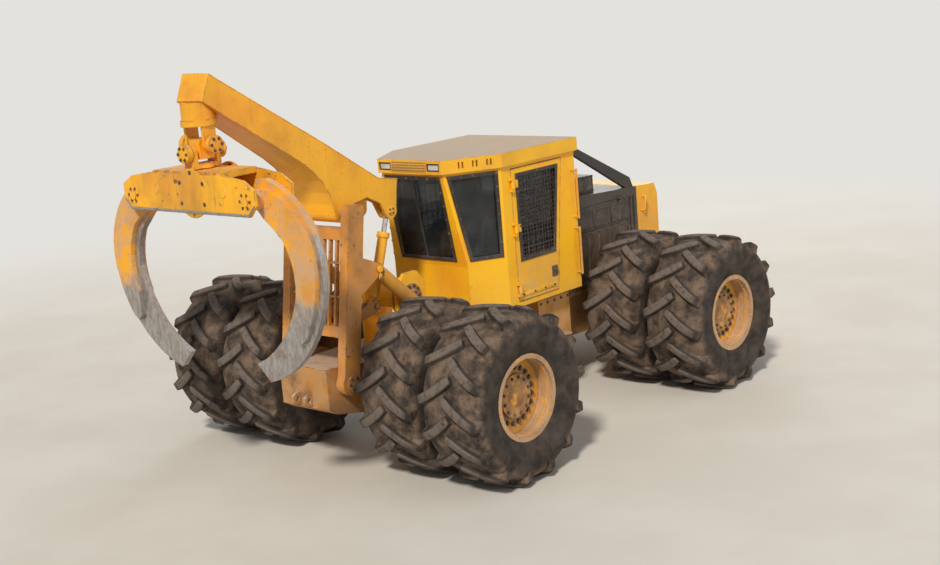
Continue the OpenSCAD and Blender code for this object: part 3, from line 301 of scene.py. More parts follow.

# Cured tyre rubber: dark brown-black and matt, dry tan soil in the grooves, lug tops a little lighter, partly
# rubbed rubber and partly a painted highlight
rubberLook = {
    "rubber": "242120", "aged": "393432", "soil": "84705F", "rubbedAndHighlight": "6F645D",
    "agedPatch": (0.30, 0.40, 0.65, 5.0), "clod": (0.16, 0.36, 0.72, 8.0), "grain": (0.012, 0.40, 0.70),
    "rub": (0.06, 0.20, 0.55, 8.0), "tear": 0.035, "nick": 0.09,
    # radii that each zone starts and ends at, and its share there
    "lugTop": (0.898, 0.918, 0.0, 1.0), "groove": (0.885, 0.862, 0.12, 0.80), "wall": (0.72, 0.80, 0.30, 1.0),
}


def makeRubber():
    look = rubberLook
    material, tree, place = startMaterial("tyreRubber")
    radius = wheelRadius(tree, place)
    limits = ("From Min", "From Max", "To Min", "To Max")
    top, groove, wall = (
        addNode(tree, "MapRange", "SMOOTHSTEP", {"Value": radius, **dict(zip(limits, look[key]))})
        for key in ("lugTop", "groove", "wall"))
    groove = addNode(tree, "Math", "MULTIPLY", {0: groove, 1: wall})
    aged, clods, grains, rub = (speckle(place, *look[key]) for key in ("agedPatch", "clod", "grain", "rub"))
    lie = addNode(tree, "Math", timesPlus, {0: grains, 1: 0.3, 2: clods})
    lie = addNode(tree, "Math", "MULTIPLY", {0: lie, 1: groove})
    # lug tops lighter in patches: worn rubber and a painted highlight
    rubbedAndHighlight = addNode(tree, "Math", "MULTIPLY", {0: rub, 1: top})
    coarse = addNode(tree, "TexNoise", {},
                     {"Vector": place, "Scale": 1 / look["tear"], "Detail": 8.0, "Roughness": 0.7})
    cuts = addNode(tree, "TexVoronoi", {"feature": "DISTANCE_TO_EDGE"},
                   {"Vector": place, "Scale": 1 / look["nick"]})
    nicks = addNode(tree, "MapRange", {}, {"Value": cuts, "From Max": 0.03})
    torn = addNode(tree, "Bump", {}, {"Height": coarse, "Strength": 0.6, "Distance": 0.012})
    return finishMaterial(material, {
        "Base Color": layCoats(tree, look["rubber"], (aged, look["aged"]), (lie, look["soil"]),
                               (rubbedAndHighlight, look["rubbedAndHighlight"])),
        "Roughness": 0.88, "Specular IOR Level": 0.3,
        "Normal": addNode(tree, "Bump", {},
                          {"Height": nicks, "Strength": 0.2, "Distance": 0.004, "Normal": torn}),
    })


tyreRubber = makeRubber()


def makeGlass():
    # tempered pane, tinted grey: see-through, with a film of dust
    material, tree, place = startMaterial("darkGlass")
    tint = layCoats(tree, "20282C", (speckle(place, 0.25, 0.35, 0.8, 6.0), "47494A"))
    return finishMaterial(material, {"Base Color": tint, "Roughness": 0.06, "IOR": 1.5, "Alpha": 0.62})


darkGlass = makeGlass()


def plainCoat(name, colour, dusty, rough, grain, depth):
    # moulded, extruded or plated surface: an even colour, a fine grain and a little dust
    material, tree, place = startMaterial(name)
    noise = addNode(tree, "TexNoise", {}, {"Vector": place, "Scale": 1 / grain, "Detail": 3.0})
    dust = speckle(place, 0.12, 0.45, 0.75, 7.0)
    return finishMaterial(material, {
        "Base Color": layCoats(tree, colour, (dust, dusty)), "Roughness": rough,
        "Normal": addNode(tree, "Bump", {}, {"Height": noise, "Strength": 0.3, "Distance": depth}),
    })


cabPlastic = plainCoat("cabPlastic", "2B2A29", "4A443F", 0.6, 0.004, 0.0006)   # grained ABS, matt
seatVinyl = plainCoat("seatVinyl", "232323", "3B3834", 0.5, 0.003, 0.0005)     # leather-grain vinyl, half matt
boltSteel = plainCoat("boltSteel", "4B443D", "8C7458", 0.55, 0.004, 0.0008)    # plain steel, browned
lampLens = plainCoat("lampLens", "C9CDCE", "B9AFA2", 0.18, 0.020, 0.0004)      # clear polycarbonate, glossy


def perforated(name, colour, pitch, share):
    # punched sheet: round holes in rows, painted near-black as the shade seen through them, in powder coat with
    # tan dust on the bridges
    material, tree, place = startMaterial(name)
    holes = addNode(tree, "TexVoronoi", {}, {"Vector": place, "Scale": 1 / pitch, "Randomness": 0.0})
    holeShade = addNode(tree, "MapRange", "SMOOTHSTEP",
                   {"Value": holes, "From Min": share + 0.05, "From Max": share - 0.05})
    dust = addNode(tree, "Math", "MULTIPLY", {0: speckle(place, 0.10, 0.35, 0.75, 6.0), 1: 0.55})
    return finishMaterial(material, {
        # the holes' near-black is painted shade
        "Base Color": layCoats(tree, colour, (dust, "8A7560"), (holeShade, "0D0C0B")), "Roughness": 0.7,
        "Normal": addNode(tree, "Bump", {"invert": True}, {"Height": holeShade, "Strength": 0.6, "Distance": 0.004}),
    })


punchedBlack = perforated("punchedBlack", "4A4440", 0.026, 0.36)
punchedYellow = perforated("punchedYellow", "E6B04A", 0.030, 0.34)
print("materials made")

coats = {
    doorEnamel: ("cab_door_right", "cab_door_left"),
    yellowEnamel: ("cab_shell", "blade", "blade_barrels", "winch"),
    roofEnamel: ("cab_roof",),
    hoodEnamel: ("hood",),
    boomEnamel: ("boom", "boom_barrels"),
    headEnamel: ("swing_cross", "rotator", "grapple_head"),
    archEnamel: ("arch",),
    tongCoat: ("tong_right", "tong_left"),
    dustyEnamel: ("arch_barrels", "access_steps"),
    frameEnamel: ("front_frame", "rear_frame", "front_axle", "rear_axle", "steer_barrel_right",
                  "steer_barrel_left"),
    blackEnamel: ("engine", "grille", "engine_door_right", "engine_door_left", "intake_box", "limb_risers"),
    rimEnamel: ("rims_front_right", "rims_front_left", "rims_rear_right", "rims_rear_left"),
    rodChrome: ("arch_rods", "boom_rods", "blade_rods", "steer_rod_right", "steer_rod_left"),
    tyreRubber: ("tyres_front_right", "tyres_front_left", "tyres_rear_right", "tyres_rear_left"),
    darkGlass: ("cab_glass",),
    cabPlastic: ("cab_interior",),
}
for coat, names in coats.items():
    for name in names:
        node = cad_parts[name]
        node.data.materials.clear()
        node.data.materials.append(coat)


def clearSelection():
    if bpy.context.object and bpy.context.object.mode != "OBJECT":
        bpy.ops.object.mode_set(mode="OBJECT")
    bpy.ops.object.select_all(action="DESELECT")


def pick(*items):
    clearSelection()
    for item in items:
        item.select_set(True)
    bpy.context.view_layer.objects.active = items[0]


def editAll():
    # the active object in edit mode, selected all over
    bpy.ops.object.mode_set(mode="EDIT")
    bpy.ops.mesh.select_all(action="SELECT")


def closeMesh(item):
    # faces turned outwards, and back to object mode
    bpy.ops.mesh.select_all(action="SELECT")
    bpy.ops.mesh.normals_make_consistent(inside=False)
    bpy.ops.object.mode_set(mode="OBJECT")
    return item


def settle(item):
    # modifiers applied, object at the origin with its place in its mesh
    pick(item)
    for modifier in list(item.modifiers):
        bpy.ops.object.modifier_apply(modifier=modifier.name)
    bpy.ops.object.transform_apply(location=True, rotation=True, scale=True)
    return item


def softenEdges(item, width, steps=2, angle=35):
    modifier = item.modifiers.new("edges", "BEVEL")
    modifier.width = width
    modifier.segments = steps
    modifier.limit_method = "ANGLE"
    modifier.angle_limit = math.radians(angle)
    settle(item)
    bpy.ops.object.shade_smooth_by_angle(angle=math.radians(40))
    return item


def traceLine(name, points):
    # one vertex, then extruded from point to point
    clearSelection()
    bpy.ops.mesh.primitive_plane_add(size=0.01, location=(0, 0, 0))
    item = bpy.context.object
    item.name = name
    editAll()
    bpy.ops.mesh.merge(type="CENTER")
    bpy.ops.transform.translate(value=points[0])
    for before, after in zip(points, points[1:]):
        step = Vector(after) - Vector(before)
        bpy.ops.mesh.extrude_vertices_move(TRANSFORM_OT_translate={"value": step})
    bpy.ops.mesh.select_all(action="SELECT")
    return item


def addPlate(name, points, depth, edge=0.0):
    # outline filled and pulled out by depth, a vector
    item = traceLine(name, points)
    bpy.ops.mesh.edge_face_add()
    bpy.ops.mesh.extrude_region_move(TRANSFORM_OT_translate={"value": depth})
    closeMesh(item)
    return softenEdges(item, edge) if edge else item


def addFrame(name, corners, normal, width, depth, edge=0.003):
    # flat ring round an opening: filled, inset, its middle taken out, then pulled forward
    normal = Vector(normal).normalized()
    item = traceLine(name, corners)
    bpy.ops.mesh.edge_face_add()
    bpy.ops.mesh.inset(thickness=width, depth=0)
    bpy.ops.mesh.delete(type="FACE")
    bpy.ops.mesh.select_all(action="SELECT")
    bpy.ops.mesh.extrude_region_move(TRANSFORM_OT_translate={"value": normal * depth})
    return softenEdges(closeMesh(item), edge, 1)


def spinLine(name, points, steps, centre=(0, 0, 0), axis=(0, 1, 0)):
    # outline turned all the way round an axis
    item = traceLine(name, points)
    bpy.ops.mesh.spin(steps=steps, angle=2 * math.pi, center=centre, axis=axis)
    bpy.ops.mesh.select_all(action="SELECT")
    bpy.ops.mesh.remove_doubles(threshold=0.0004)
    closeMesh(item)
    bpy.ops.object.shade_smooth_by_angle(angle=math.radians(35))
    return item


def addRod(name, points, radius, sides=10, bend=0.0):
    # round bar along straight runs, its corners rounded over bend
    clearSelection()
    curve = bpy.data.curves.new(name, "CURVE")
    curve.dimensions = "3D"
    curve.bevel_depth = radius
    curve.bevel_resolution = max(1, sides // 4)
    curve.use_fill_caps = True
    line = curve.splines.new("POLY")
    path = [Vector(p) for p in points]
    if bend:
        soft = [path[0]]
        for a, b, c in zip(path, path[1:], path[2:]):
            start = b + (a - b).normalized() * bend
            end = b + (c - b).normalized() * bend
            soft += [start.lerp(b, t).lerp(b.lerp(end, t), t) for t in (0, 0.25, 0.5, 0.75, 1)]
        path = soft + [path[-1]]
    line.points.add(len(path) - 1)
    for point, place in zip(line.points, path):
        point.co = (*place, 1)
    item = bpy.data.objects.new(name, curve)
    bpy.context.scene.collection.objects.link(item)
    pick(item)
    bpy.ops.object.convert(target="MESH")
    bpy.ops.object.shade_smooth_by_angle(angle=math.radians(50))
    return bpy.context.object


def placeCopies(source, places):
    copies = []
    for place in places:
        other = source.copy()
        other.data = source.data.copy()
        other.data.transform(place)
        if place.determinant() < 0:
            other.data.flip_normals()
        bpy.context.scene.collection.objects.link(other)
        copies.append(other)
    return copies


def joinAll(items, name):
    pick(*items)
    if len(items) > 1:
        bpy.ops.object.join()
    item = bpy.context.view_layer.objects.active
    item.name = name
    return item


def handOver(items, name, body, material, stands=()):
    # one finished piece: joined, named, coated, and carried by a body
    item = joinAll(items, name)
    item.data.materials.clear()
    item.data.materials.append(material)
    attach(item, body)
    if stands:
        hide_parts(*stands)
    return item


def spot(x, y, z):
    # a place by the machine's own lengths in mm, from the frame's hinge, the middle and the floor
    return Vector((hitchX + x / 1000, y / 1000, z / 1000))


def onSide(y, *outline):
    # an outline of x and z, in mm, on a face that looks sideways
    return [spot(x, y, z) for x, z in outline]


def oblong(x0, z0, x1, z1):
    return (x0, z0), (x1, z0), (x1, z1), (x0, z1)


# Tyres: a twin tyre of the log skidder's kind, with tall slanted lugs that lead at the middle
tyre = {
    "lugCount": 14, "lugTop": 0.925, "lugHalfTop": 0.044, "lugHalfFoot": 0.074, "lugEdge": 0.010,
    "stations": 12, "reach": 1.16, "past": 0.030, "shoulder": 0.392, "slantIn": 42, "slantOut": 22,
    "lugRadius": 0.9, "footUnder": 0.012, "crownFrom": 0.16, "wallFoot": 0.45, "wallCrown": 0.55,
    "wornFrom": 0.93, "worn": 0.016, "noseShare": 0.80, "flareFrom": 0.6, "flare": 0.22,
    "turn": 11.14, "innerY": 1.13, "outerY": 2.02,
}
# radius and half width, from the bead to the crown
carcass = [(0.426, 0.300), (0.445, 0.322), (0.470, 0.330), (0.480, 0.341), (0.520, 0.352), (0.600, 0.378),
           (0.680, 0.391), (0.740, 0.388), (0.790, 0.376), (0.822, 0.352), (0.846, 0.300), (0.860, 0.200),
           (0.867, 0.090), (0.868, 0.0)]


def floorRadius(y):
    # carcass radius below a lug, out to the shoulder
    rows = sorted((w, r) for r, w in carcass[8:])
    for (a, ra), (b, rb) in zip(rows, rows[1:]):
        if a <= y <= b:
            return ra + (rb - ra) * (y - a) / (b - a)
    return rows[-1][1] if y > rows[-1][0] else rows[0][1]


def makeLug():
    # cut from a block into stations and laid round the crown
    clearSelection()
    bpy.ops.mesh.primitive_cube_add(size=1, location=(0, 0.5, 0.5))
    lug = bpy.context.object
    editAll()
    for step in range(1, tyre["stations"]):
        bpy.ops.mesh.select_all(action="SELECT")
        bpy.ops.mesh.bisect(plane_co=(0, step / tyre["stations"], 0), plane_no=(0, 1, 0))
    bpy.ops.mesh.select_all(action="DESELECT")
    bpy.ops.object.mode_set(mode="OBJECT")
    settle(lug)
    # x across the lug, y along it from the middle to the side wall, z up
    for vertex in lug.data.vertices:
        across, along, up = vertex.co.x * 2, vertex.co.y, vertex.co.z
        reach = along * tyre["reach"]
        y = -tyre["past"] + (tyre["shoulder"] + tyre["past"]) * min(reach, 1.0)
        drop = max(reach - 1.0, 0.0)                      # the last stretch goes down the side wall
        slant = tyre["slantIn"] + (tyre["slantOut"] - tyre["slantIn"]) * min(reach, 1.0)
        mean = math.radians((tyre["slantIn"] + slant) / 2)
        shift = (y + tyre["past"]) * math.tan(mean)
        foot = floorRadius(abs(y)) - tyre["footUnder"] - drop * tyre["wallFoot"]
        fall = 0.10 * max(abs(y) - tyre["crownFrom"], 0.0) ** 1.5 * 2.2
        crown = tyre["lugTop"] - fall - drop * tyre["wallCrown"]
        if reach > tyre["wornFrom"]:
            crown -= tyre["worn"]
        wide = tyre["lugHalfFoot"] + (tyre["lugHalfTop"] - tyre["lugHalfFoot"]) * up
        wide *= tyre["noseShare"] if along < 0.01 else 1.0 + tyre["flare"] * max(reach - tyre["flareFrom"], 0)
        turn = math.radians(slant)
        radius = foot + (crown - foot) * up
        if up > 0.5 and reach >= 1.0:
            y -= 0.004
        inset = 0.018 * (1 - up) if along < 0.01 else 0
        around = shift + across * wide * math.cos(turn)
        y -= across * wide * math.sin(turn) * 0.75 + inset
        y = min(y, tyre["shoulder"] + 0.002)
        angle = -around / tyre["lugRadius"]
        vertex.co = (radius * math.sin(angle), y, radius * math.cos(angle))
    pick(lug)
    editAll()
    return softenEdges(closeMesh(lug), tyre["lugEdge"], 2, 30)


def makeTyre():
    side = [(0, w, r) for r, w in carcass]
    other = [(0, -w, r) for r, w in reversed(carcass[:-1])]
    body = spinLine("carcass", side + other, 84)
    lug = makeLug()
    places = []
    for number in range(tyre["lugCount"]):
        for side, offset in ((1, 0.0), (-1, 0.5)):
            turn = 2 * math.pi * (number + offset) / tyre["lugCount"]
            places.append(Matrix.Rotation(turn, 4, "Y") @ Matrix.Scale(side, 4, (0, 1, 0)))
    lugs = placeCopies(lug, places)
    bpy.data.objects.remove(lug)
    return joinAll([body] + lugs, "tyre")


oneTyre = makeTyre()
print("tyre made:", len(oneTyre.data.polygons), "faces")
corners = [(end, sign, side, hand) for end, sign in (("front", 1), ("rear", -1)) for hand, side in sides]
treadTurn = Matrix.Rotation(math.radians(tyre["turn"]), 4, "Y")
for end, sign, side, hand in corners:
    pair = placeCopies(oneTyre, [Matrix.Translation((hitchX + sign * axleX, hand * y, axleZ)) @ treadTurn
                                 for y in (tyre["innerY"], tyre["outerY"])])
    handOver(pair, "lugTyres_%s_%s" % (end, side), "wheels_%s_%s" % (end, side), tyreRubber,
             ["tyres_%s_%s" % (end, side)])
bpy.data.objects.remove(oneTyre)
print("tyres placed")

# Hex bolt on a washer, modelled once
bolt = {"washer": 0.017, "washerThick": 0.004, "head": 0.0125, "headTall": 0.011, "chamfer": 0.0015}
clearSelection()
bpy.ops.mesh.primitive_cylinder_add(vertices=14, radius=bolt["washer"], depth=bolt["washerThick"],
                                    location=(0, 0, bolt["washerThick"] / 2))
washer = bpy.context.object
bpy.ops.mesh.primitive_cylinder_add(vertices=6, radius=bolt["head"], depth=bolt["headTall"],
                                    location=(0, 0, bolt["washerThick"] + bolt["headTall"] / 2))
hexBolt = bpy.context.object
editAll()
bpy.ops.mesh.bevel(offset=bolt["chamfer"], segments=1)
bpy.ops.object.mode_set(mode="OBJECT")
hexBolt = joinAll([settle(hexBolt), settle(washer)], "hexBolt")
boltPlaces = {}         # body -> places of its bolts


def boltAt(body, point, normal, scale=1.0, rise=1.0):
    # rise below 1 makes a low head
    turn = Vector(normal).normalized().to_track_quat("Z", "Y").to_matrix().to_4x4()
    size = Matrix.Diagonal((scale, scale, scale * rise, 1))
    boltPlaces.setdefault(body, []).append(Matrix.Translation(point) @ turn @ size)


def growCorners(corners, by):
    # corners of a flat outline moved outwards by a distance
    middle = sum(corners, Vector()) / len(corners)
    grown = []
    for index, corner in enumerate(corners):
        one = (corners[index - 1] - corner).normalized()
        two = (corners[(index + 1) % len(corners)] - corner).normalized()
        half = (one + two).normalized()
        sine = max(half.cross(one).length, 0.3)
        away = half * (by / sine)
        grown.append(corner - away if (half.dot(middle - corner) > 0) else corner + away)
    return grown


def clampFrame(name, body, opening, normal, grow, width, depth, boltGrow, pitch, scale):
    # flat frame round an opening, and bolts on it, one in each corner and the rest about a pitch apart
    line = [corner + normal * depth for corner in growCorners(opening, boltGrow)]
    for a, b in zip(line, line[1:] + line[:1]):
        count = max(1, round((b - a).length / pitch))
        for number in range(count):
            boltAt(body, a + (b - a) * number / count, normal, scale)
    return addFrame(name, growCorners(opening, grow), normal, width, depth)


# Cab windows: black clamp frames with bolts all round, as the photograph shows on the cut corner
cab = {
    "half": 820, "rearHalf": 470, "rearX": -940, "cornerX": -330, "top": 2990, "foot": 1900, "lean": 190,
    "frontX": 1010, "paneLow": 1980, "paneHigh": 2940, "rearPane": 415, "screenLow": 2430, "screenHalf": 710,
    "cornerPane": ((270, 1980), (643, 1980), (643, 2940), (75, 2940)), "bar": 0.012,
    # clamp frames: grown by, width, depth, bolts grown by, their pitch and scale
    "cornerClamp": (0.020, 0.045, 0.012, -0.003, 0.155, 0.85),
    "rearClamp": (0.022, 0.045, 0.012, -0.002, 0.155, 0.85), "screenFrame": (0.045, 0.010),
}


def rearFace(z):
    return cab["rearX"] + cab["lean"] * (cab["top"] - z) / (cab["top"] - cab["foot"])


def cornerSpot(hand, along, z):
    # a place on a cut corner, along from its rear edge
    a = Vector((cab["cornerX"], -cab["half"]))
    b = Vector((cab["rearX"], -cab["rearHalf"]))
    point = b + (a - b).normalized() * along
    return spot(point.x, -hand * point.y, z)


low, high = cab["paneLow"], cab["paneHigh"]
frames = []
for hand, side in sides:
    normal = Vector((-0.4977, hand * 0.8674, 0))
    opening = [cornerSpot(hand, u, z) for u, z in cab["cornerPane"]]
    frames.append(clampFrame("cornerFrame", "front", opening, normal, *cab["cornerClamp"]))
lean = math.atan2(cab["lean"], cab["top"] - cab["foot"])
normal = Vector((-math.cos(lean), 0, -math.sin(lean)))
opening = [spot(rearFace(z), y, z) for y, z in oblong(-cab["rearPane"], low, cab["rearPane"], high)]
frames.append(clampFrame("rearFrame", "front", opening, normal, *cab["rearClamp"]))
# upright bar in the middle of the rear window
bar = [spot(rearFace(low) - 6, 0, low - 5), spot(rearFace(high) - 6, 0, high + 5)]
frames.append(addRod("rearBar", bar, cab["bar"]))
half = cab["screenHalf"]
screen = [spot(cab["frontX"], y, z) for y, z in oblong(-half, cab["screenLow"], half, high)]
frames.append(addFrame("screenFrame", growCorners(screen, 0.02), (1, 0, 0), *cab["screenFrame"]))
handOver(frames, "windowFrames", "front", blackEnamel)

# Doors: wire guard over a dark pane, clamp frame, latch, and a rail along the sill
door = {
    "face": 820, "left": -80, "right": (535, 665), "low": 1870, "high": 2865, "wirePitch": 52, "wire": 0.0032,
    "paneIn": 0.030, "paneThick": 0.006, "clamp": (0.018, 0.042, 0.010, -0.003, 0.20, 0.75),
    "latchPlate": (455, 1560, 560, 1690), "latchBar": ((475, 8), (475, 34), (540, 34), (540, 8)), "latchZ": 1650,
    "sill": ((-130, 1440), (510, 1440), (516, 1490), (-130, 1490)), "sillBolts": (-95, 110, 300, 480),
}


def doorRight(z):
    # the window's slanted front edge
    low, high = door["right"]
    return low + (high - low) * (z - door["low"]) / (door["high"] - door["low"])


def doorGuard(face, hand):
    # flat wires behind, upright wires before them
    low, high = door["low"], door["high"]
    wires = []
    z = low + door["wirePitch"] * 0.6
    while z < high - 10:
        line = onSide(face - hand * 2, (door["left"], z), (doorRight(z), z))
        wires.append(addRod("wire", line, door["wire"], 4))
        z += door["wirePitch"]
    x = door["left"] + door["wirePitch"] * 0.8
    while x < doorRight(high) - 12:
        beyond = max(x - doorRight(low), 0)
        foot = low + beyond * (high - low) / (doorRight(high) - doorRight(low))
        line = onSide(face + hand * 3, (x, foot), (x, high))
        wires.append(addRod("wire", line, door["wire"], 4))
        x += door["wirePitch"]
    return wires


for hand, side in sides:
    body = "cab_door_" + side
    out = Vector((0, hand, 0))
    face = hand * door["face"]
    opening = onSide(face, (door["left"], door["low"]), (door["right"][0], door["low"]),
                     (door["right"][1], door["high"]), (door["left"], door["high"]))
    parts = [clampFrame("doorFrame", body, opening, out, *door["clamp"])]
    parts += doorGuard(face, hand)
    # latch: paddle on a plate, near the front lower corner
    parts.append(addPlate("latchPlate", onSide(face, *oblong(*door["latchPlate"])), out * 0.007, 0.003))
    latch = [spot(x, face + hand * y, door["latchZ"]) for x, y in door["latchBar"]]
    parts.append(addRod("latchBar", latch, 0.008, 8, 0.018))
    handOver(parts, "doorTrim_" + side, body, blackEnamel)
    pane = addPlate("pane", [p - out * door["paneIn"] for p in opening], out * door["paneThick"])
    handOver([pane], "doorPane_" + side, body, darkGlass)
    # pressed sill stiffener with its bolts, below the window
    sill = addPlate("sill", onSide(face, *door["sill"]), out * 0.009, 0.004)
    handOver([sill], "doorSill_" + side, body, yellowEnamel)
    for x in door["sillBolts"]:
        boltAt(body, spot(x, face + hand * 9, 1465), out, 0.8)
print("doors trimmed")

# Roof: perforated visor over the rear window
visor = addPlate("visor", [spot(-974, y, z) for y, z in oblong(-265, 3012, 265, 3128)], (-0.010, 0, 0), 0.003)
handOver([visor], "roofVisor", "front", punchedYellow)
print("cab trimmed")

# Rims: stepped barrel, ring of wheel nuts and bolted hub cover, deep in each outer wheel
rim = {
    "face": 2160, "barrel": 403, "steps": ((2262, 46, 13), (2205, 24, 8)),
    "cap": ((0, 58), (58, 58), (84, 52), (120, 41), (120, 30)),
    "boltRings": ((20, 290, 0, 1.7), (12, 196, 40, 1.1)),       # count, radius, out from the face, scale
}
hubZ = axleZ * 1000
for end, sign, side, hand in corners:
    body = "wheels_%s_%s" % (end, side)
    x = sign * axleX * 1000
    rings = []
    for start, wide, deep in rim["steps"]:
        line = [(rim["barrel"] + 1, start), (rim["barrel"] - deep, start + 7),
                (rim["barrel"] - deep, start + wide - 7), (rim["barrel"] + 1, start + wide)]
        rings.append(spinLine("ring", [spot(x, hand * y, hubZ + r) for r, y in line], 64, spot(x, 0, hubZ)))
    cap = [spot(x, hand * (rim["face"] + y), hubZ + r) for r, y in rim["cap"]]
    rings.append(spinLine("hubCap", cap, 40, spot(x, 0, hubZ)))
    handOver(rings, "rimTrim_%s_%s" % (end, side), body, rimEnamel)
    for count, ring, rise, scale in rim["boltRings"]:
        for number in range(count):
            turn = 2 * math.pi * (number + 0.5) / count
            y = hand * (rim["face"] + rise)
            boltAt(body, spot(x + ring * math.cos(turn), y, hubZ + ring * math.sin(turn)), (0, hand, 0), scale)
print("rims trimmed")

# Engine enclosure: framed punched panels on each service door, latch, ribs below, bolts along the edges
enclosure = {
    "half": 560, "panels": ((1290, 1620), (1660, 1990), (2030, 2360)), "low": 1918, "high": 2150,
    "ribWide": 34, "tallRibs": (1110, 1190, 2440, 2520), "boltZ": 1850,
    "clamp": (0.0, 0.028, 0.009, -0.014, 0.16, 0.6), "latch": (1262, 1990, 1284, 2080),
    "handleX": 2690, "handleLow": 1960, "handleHigh": 2140, "handleOut": 55,
}
for hand, side in sides:
    body = "engine_door_" + side
    out = Vector((0, hand, 0))
    face = hand * enclosure["half"]
    panelFrames, sheets = [], []
    for a, b in enclosure["panels"]:
        opening = onSide(face, *oblong(a, enclosure["low"], b, enclosure["high"]))
        sheets.append(addPlate("sheet", growCorners(opening, -0.010), out * 0.005))
        panelFrames.append(clampFrame("panelFrame", body, opening, out, *enclosure["clamp"]))
    panelFrames.append(addPlate("latch", onSide(face, *oblong(*enclosure["latch"])), out * 0.022, 0.005))
    handOver(panelFrames, "panelFrames_" + side, body, blackEnamel)
    handOver(sheets, "panelSheets_" + side, body, punchedBlack)
hoodParts, grabs = [], []
ribs = [(x, 1420, 2180) for x in enclosure["tallRibs"]] + [(x, 1300, 1810) for x in range(1300, 2400, 215)]
for hand in (-1, 1):
    out = Vector((0, hand, 0))
    face = hand * enclosure["half"]
    for x, low, high in ribs:
        rib = onSide(face, *oblong(x, low, x + enclosure["ribWide"], high))
        hoodParts.append(addPlate("rib", rib, out * 0.016, 0.006))
    for x in range(1290, 2440, 160):
        boltAt("front", spot(x, face, enclosure["boltZ"]), out, 0.8)
    # grab handle beside the nose
    x, low, high = (enclosure[key] for key in ("handleX", "handleLow", "handleHigh"))
    away = face + hand * enclosure["handleOut"]
    grab = [spot(x, face, low), spot(x, away, low), spot(x + 40, away, high), spot(x + 40, face, high)]
    grabs.append(addRod("grab", grab, 0.012, 10, 0.025))
handOver(hoodParts, "hoodRibs", "front", blackEnamel)
handOver(grabs, "noseHandles", "front", yellowEnamel)

# Intake box: punched sides in frames
intake = {
    "faces": (-480, -120), "opening": ((1285, 2390), (1765, 2390), (1765, 2535), (1285, 2550)),
    "clamp": (0.022, 0.026, 0.008, 0.016, 0.2, 0.6),
}
intakeFrames = []
for (hand, side), face in zip(sides, intake["faces"]):
    out = Vector((0, hand, 0))
    opening = onSide(face, *intake["opening"])
    sheet = addPlate("intakeSheet", opening, out * 0.004)
    handOver([sheet], "intakeSheet_" + side, "front", punchedBlack)
    intakeFrames.append(clampFrame("intakeFrame", "front", opening, out, *intake["clamp"]))
handOver(intakeFrames, "intakeFrames", "front", blackEnamel)
print("engine enclosure trimmed")

# Grapple head: rounded cover plates with low bolts on both faces, and a bar along each lower edge
head = {
    "x": -3850, "z": 3240, "half": 250, "coverY": -90, "coverZ": 3290, "boltRing": 0.205, "bolts": 6,
    "cover": ((0, 0.004), (0.232, 0.004), (0.242, 0.002), (0.246, -0.002)),
    "plug": ((0, 0.006), (0.046, 0.006), (0.052, -0.001)), "plugY": (-560, 480),
    "strip": ((-1015, 3196), (-923, 3094), (923, 3094), (1015, 3196),
              (1008, 3214), (915, 3120), (-915, 3120), (-1008, 3214)),
}
covers, strips = [], []
for hand in (-1, 1):
    out = Vector((hand, 0, 0))
    face = head["x"] + hand * head["half"]
    middle = spot(face, head["coverY"], head["coverZ"])
    turned = [("cover", middle, 48)] + [("plug", spot(face, y, head["z"] + 70), 24) for y in head["plugY"]]
    for name, centre, steps in turned:
        line = [centre + Vector((0, r, 0)) + out * h for r, h in head[name]]
        covers.append(spinLine(name, line, steps, centre, (1, 0, 0)))
    for number in range(head["bolts"]):
        turn = 2 * math.pi * (number + 0.5) / head["bolts"]
        way = Vector((0, math.cos(turn), math.sin(turn)))
        boltAt("grapple", middle + way * head["boltRing"] + out * 0.004, out, 1.3, 0.38)
    strips.append(addPlate("strip", [spot(face, y, z) for y, z in head["strip"]], out * 0.010, 0.002))
handOver(covers, "headCovers", "grapple", headEnamel)
handOver(strips, "headStrips", "grapple", scrapedSteel)
print("grapple trimmed")

# Operator's place, seen through the panes: sprung seat with sewn vinyl pads, armrests, dash with a blank screen
seat = {
    "x": 60, "floor": 1391, "crown": 0.022, "channel": 0.010, "seam": 0.045, "cuts": 14,
    # each pad's low and high corner, the axis of its crown, its seams, and how far it leans back
    "pads": {
        "seatCushion": ((-160, -205, 345), (262, 205, 468), 2, (-0.34, 0.36), 0.0),
        "seatBack": ((-298, -199, 466), (-212, 199, 872), 0, (-0.5, 0.5), 9.9),
        "headrest": ((-352, -120, 905), (-282, 120, 1060), 0, (), 9.9),
    },
    "pan": ((-262, 336), (262, 336), (266, 392), (240, 352), (-236, 352), (-322, 800), (-338, 796), (-272, 420)),
    "arm": ((-250, 560), (140, 590), (240, 600), (262, 560), (200, 530), (60, 520), (-246, 515)),
    "lever": ((0, 596), (16, 598), (20, 612), (11, 630), (13, 668), (21, 690), (16, 712), (0, 716)),
    "dash": ((640, 2), (886, 2), (886, 750), (850, 758), (756, 740), (700, 560), (668, 330), (628, 120)),
    "pedal": ((70, 20), (92, 12), (40, 190), (24, 182)),
}


def seatSpot(x, y, z):
    return spot(seat["x"] + x, y, seat["floor"] + z)


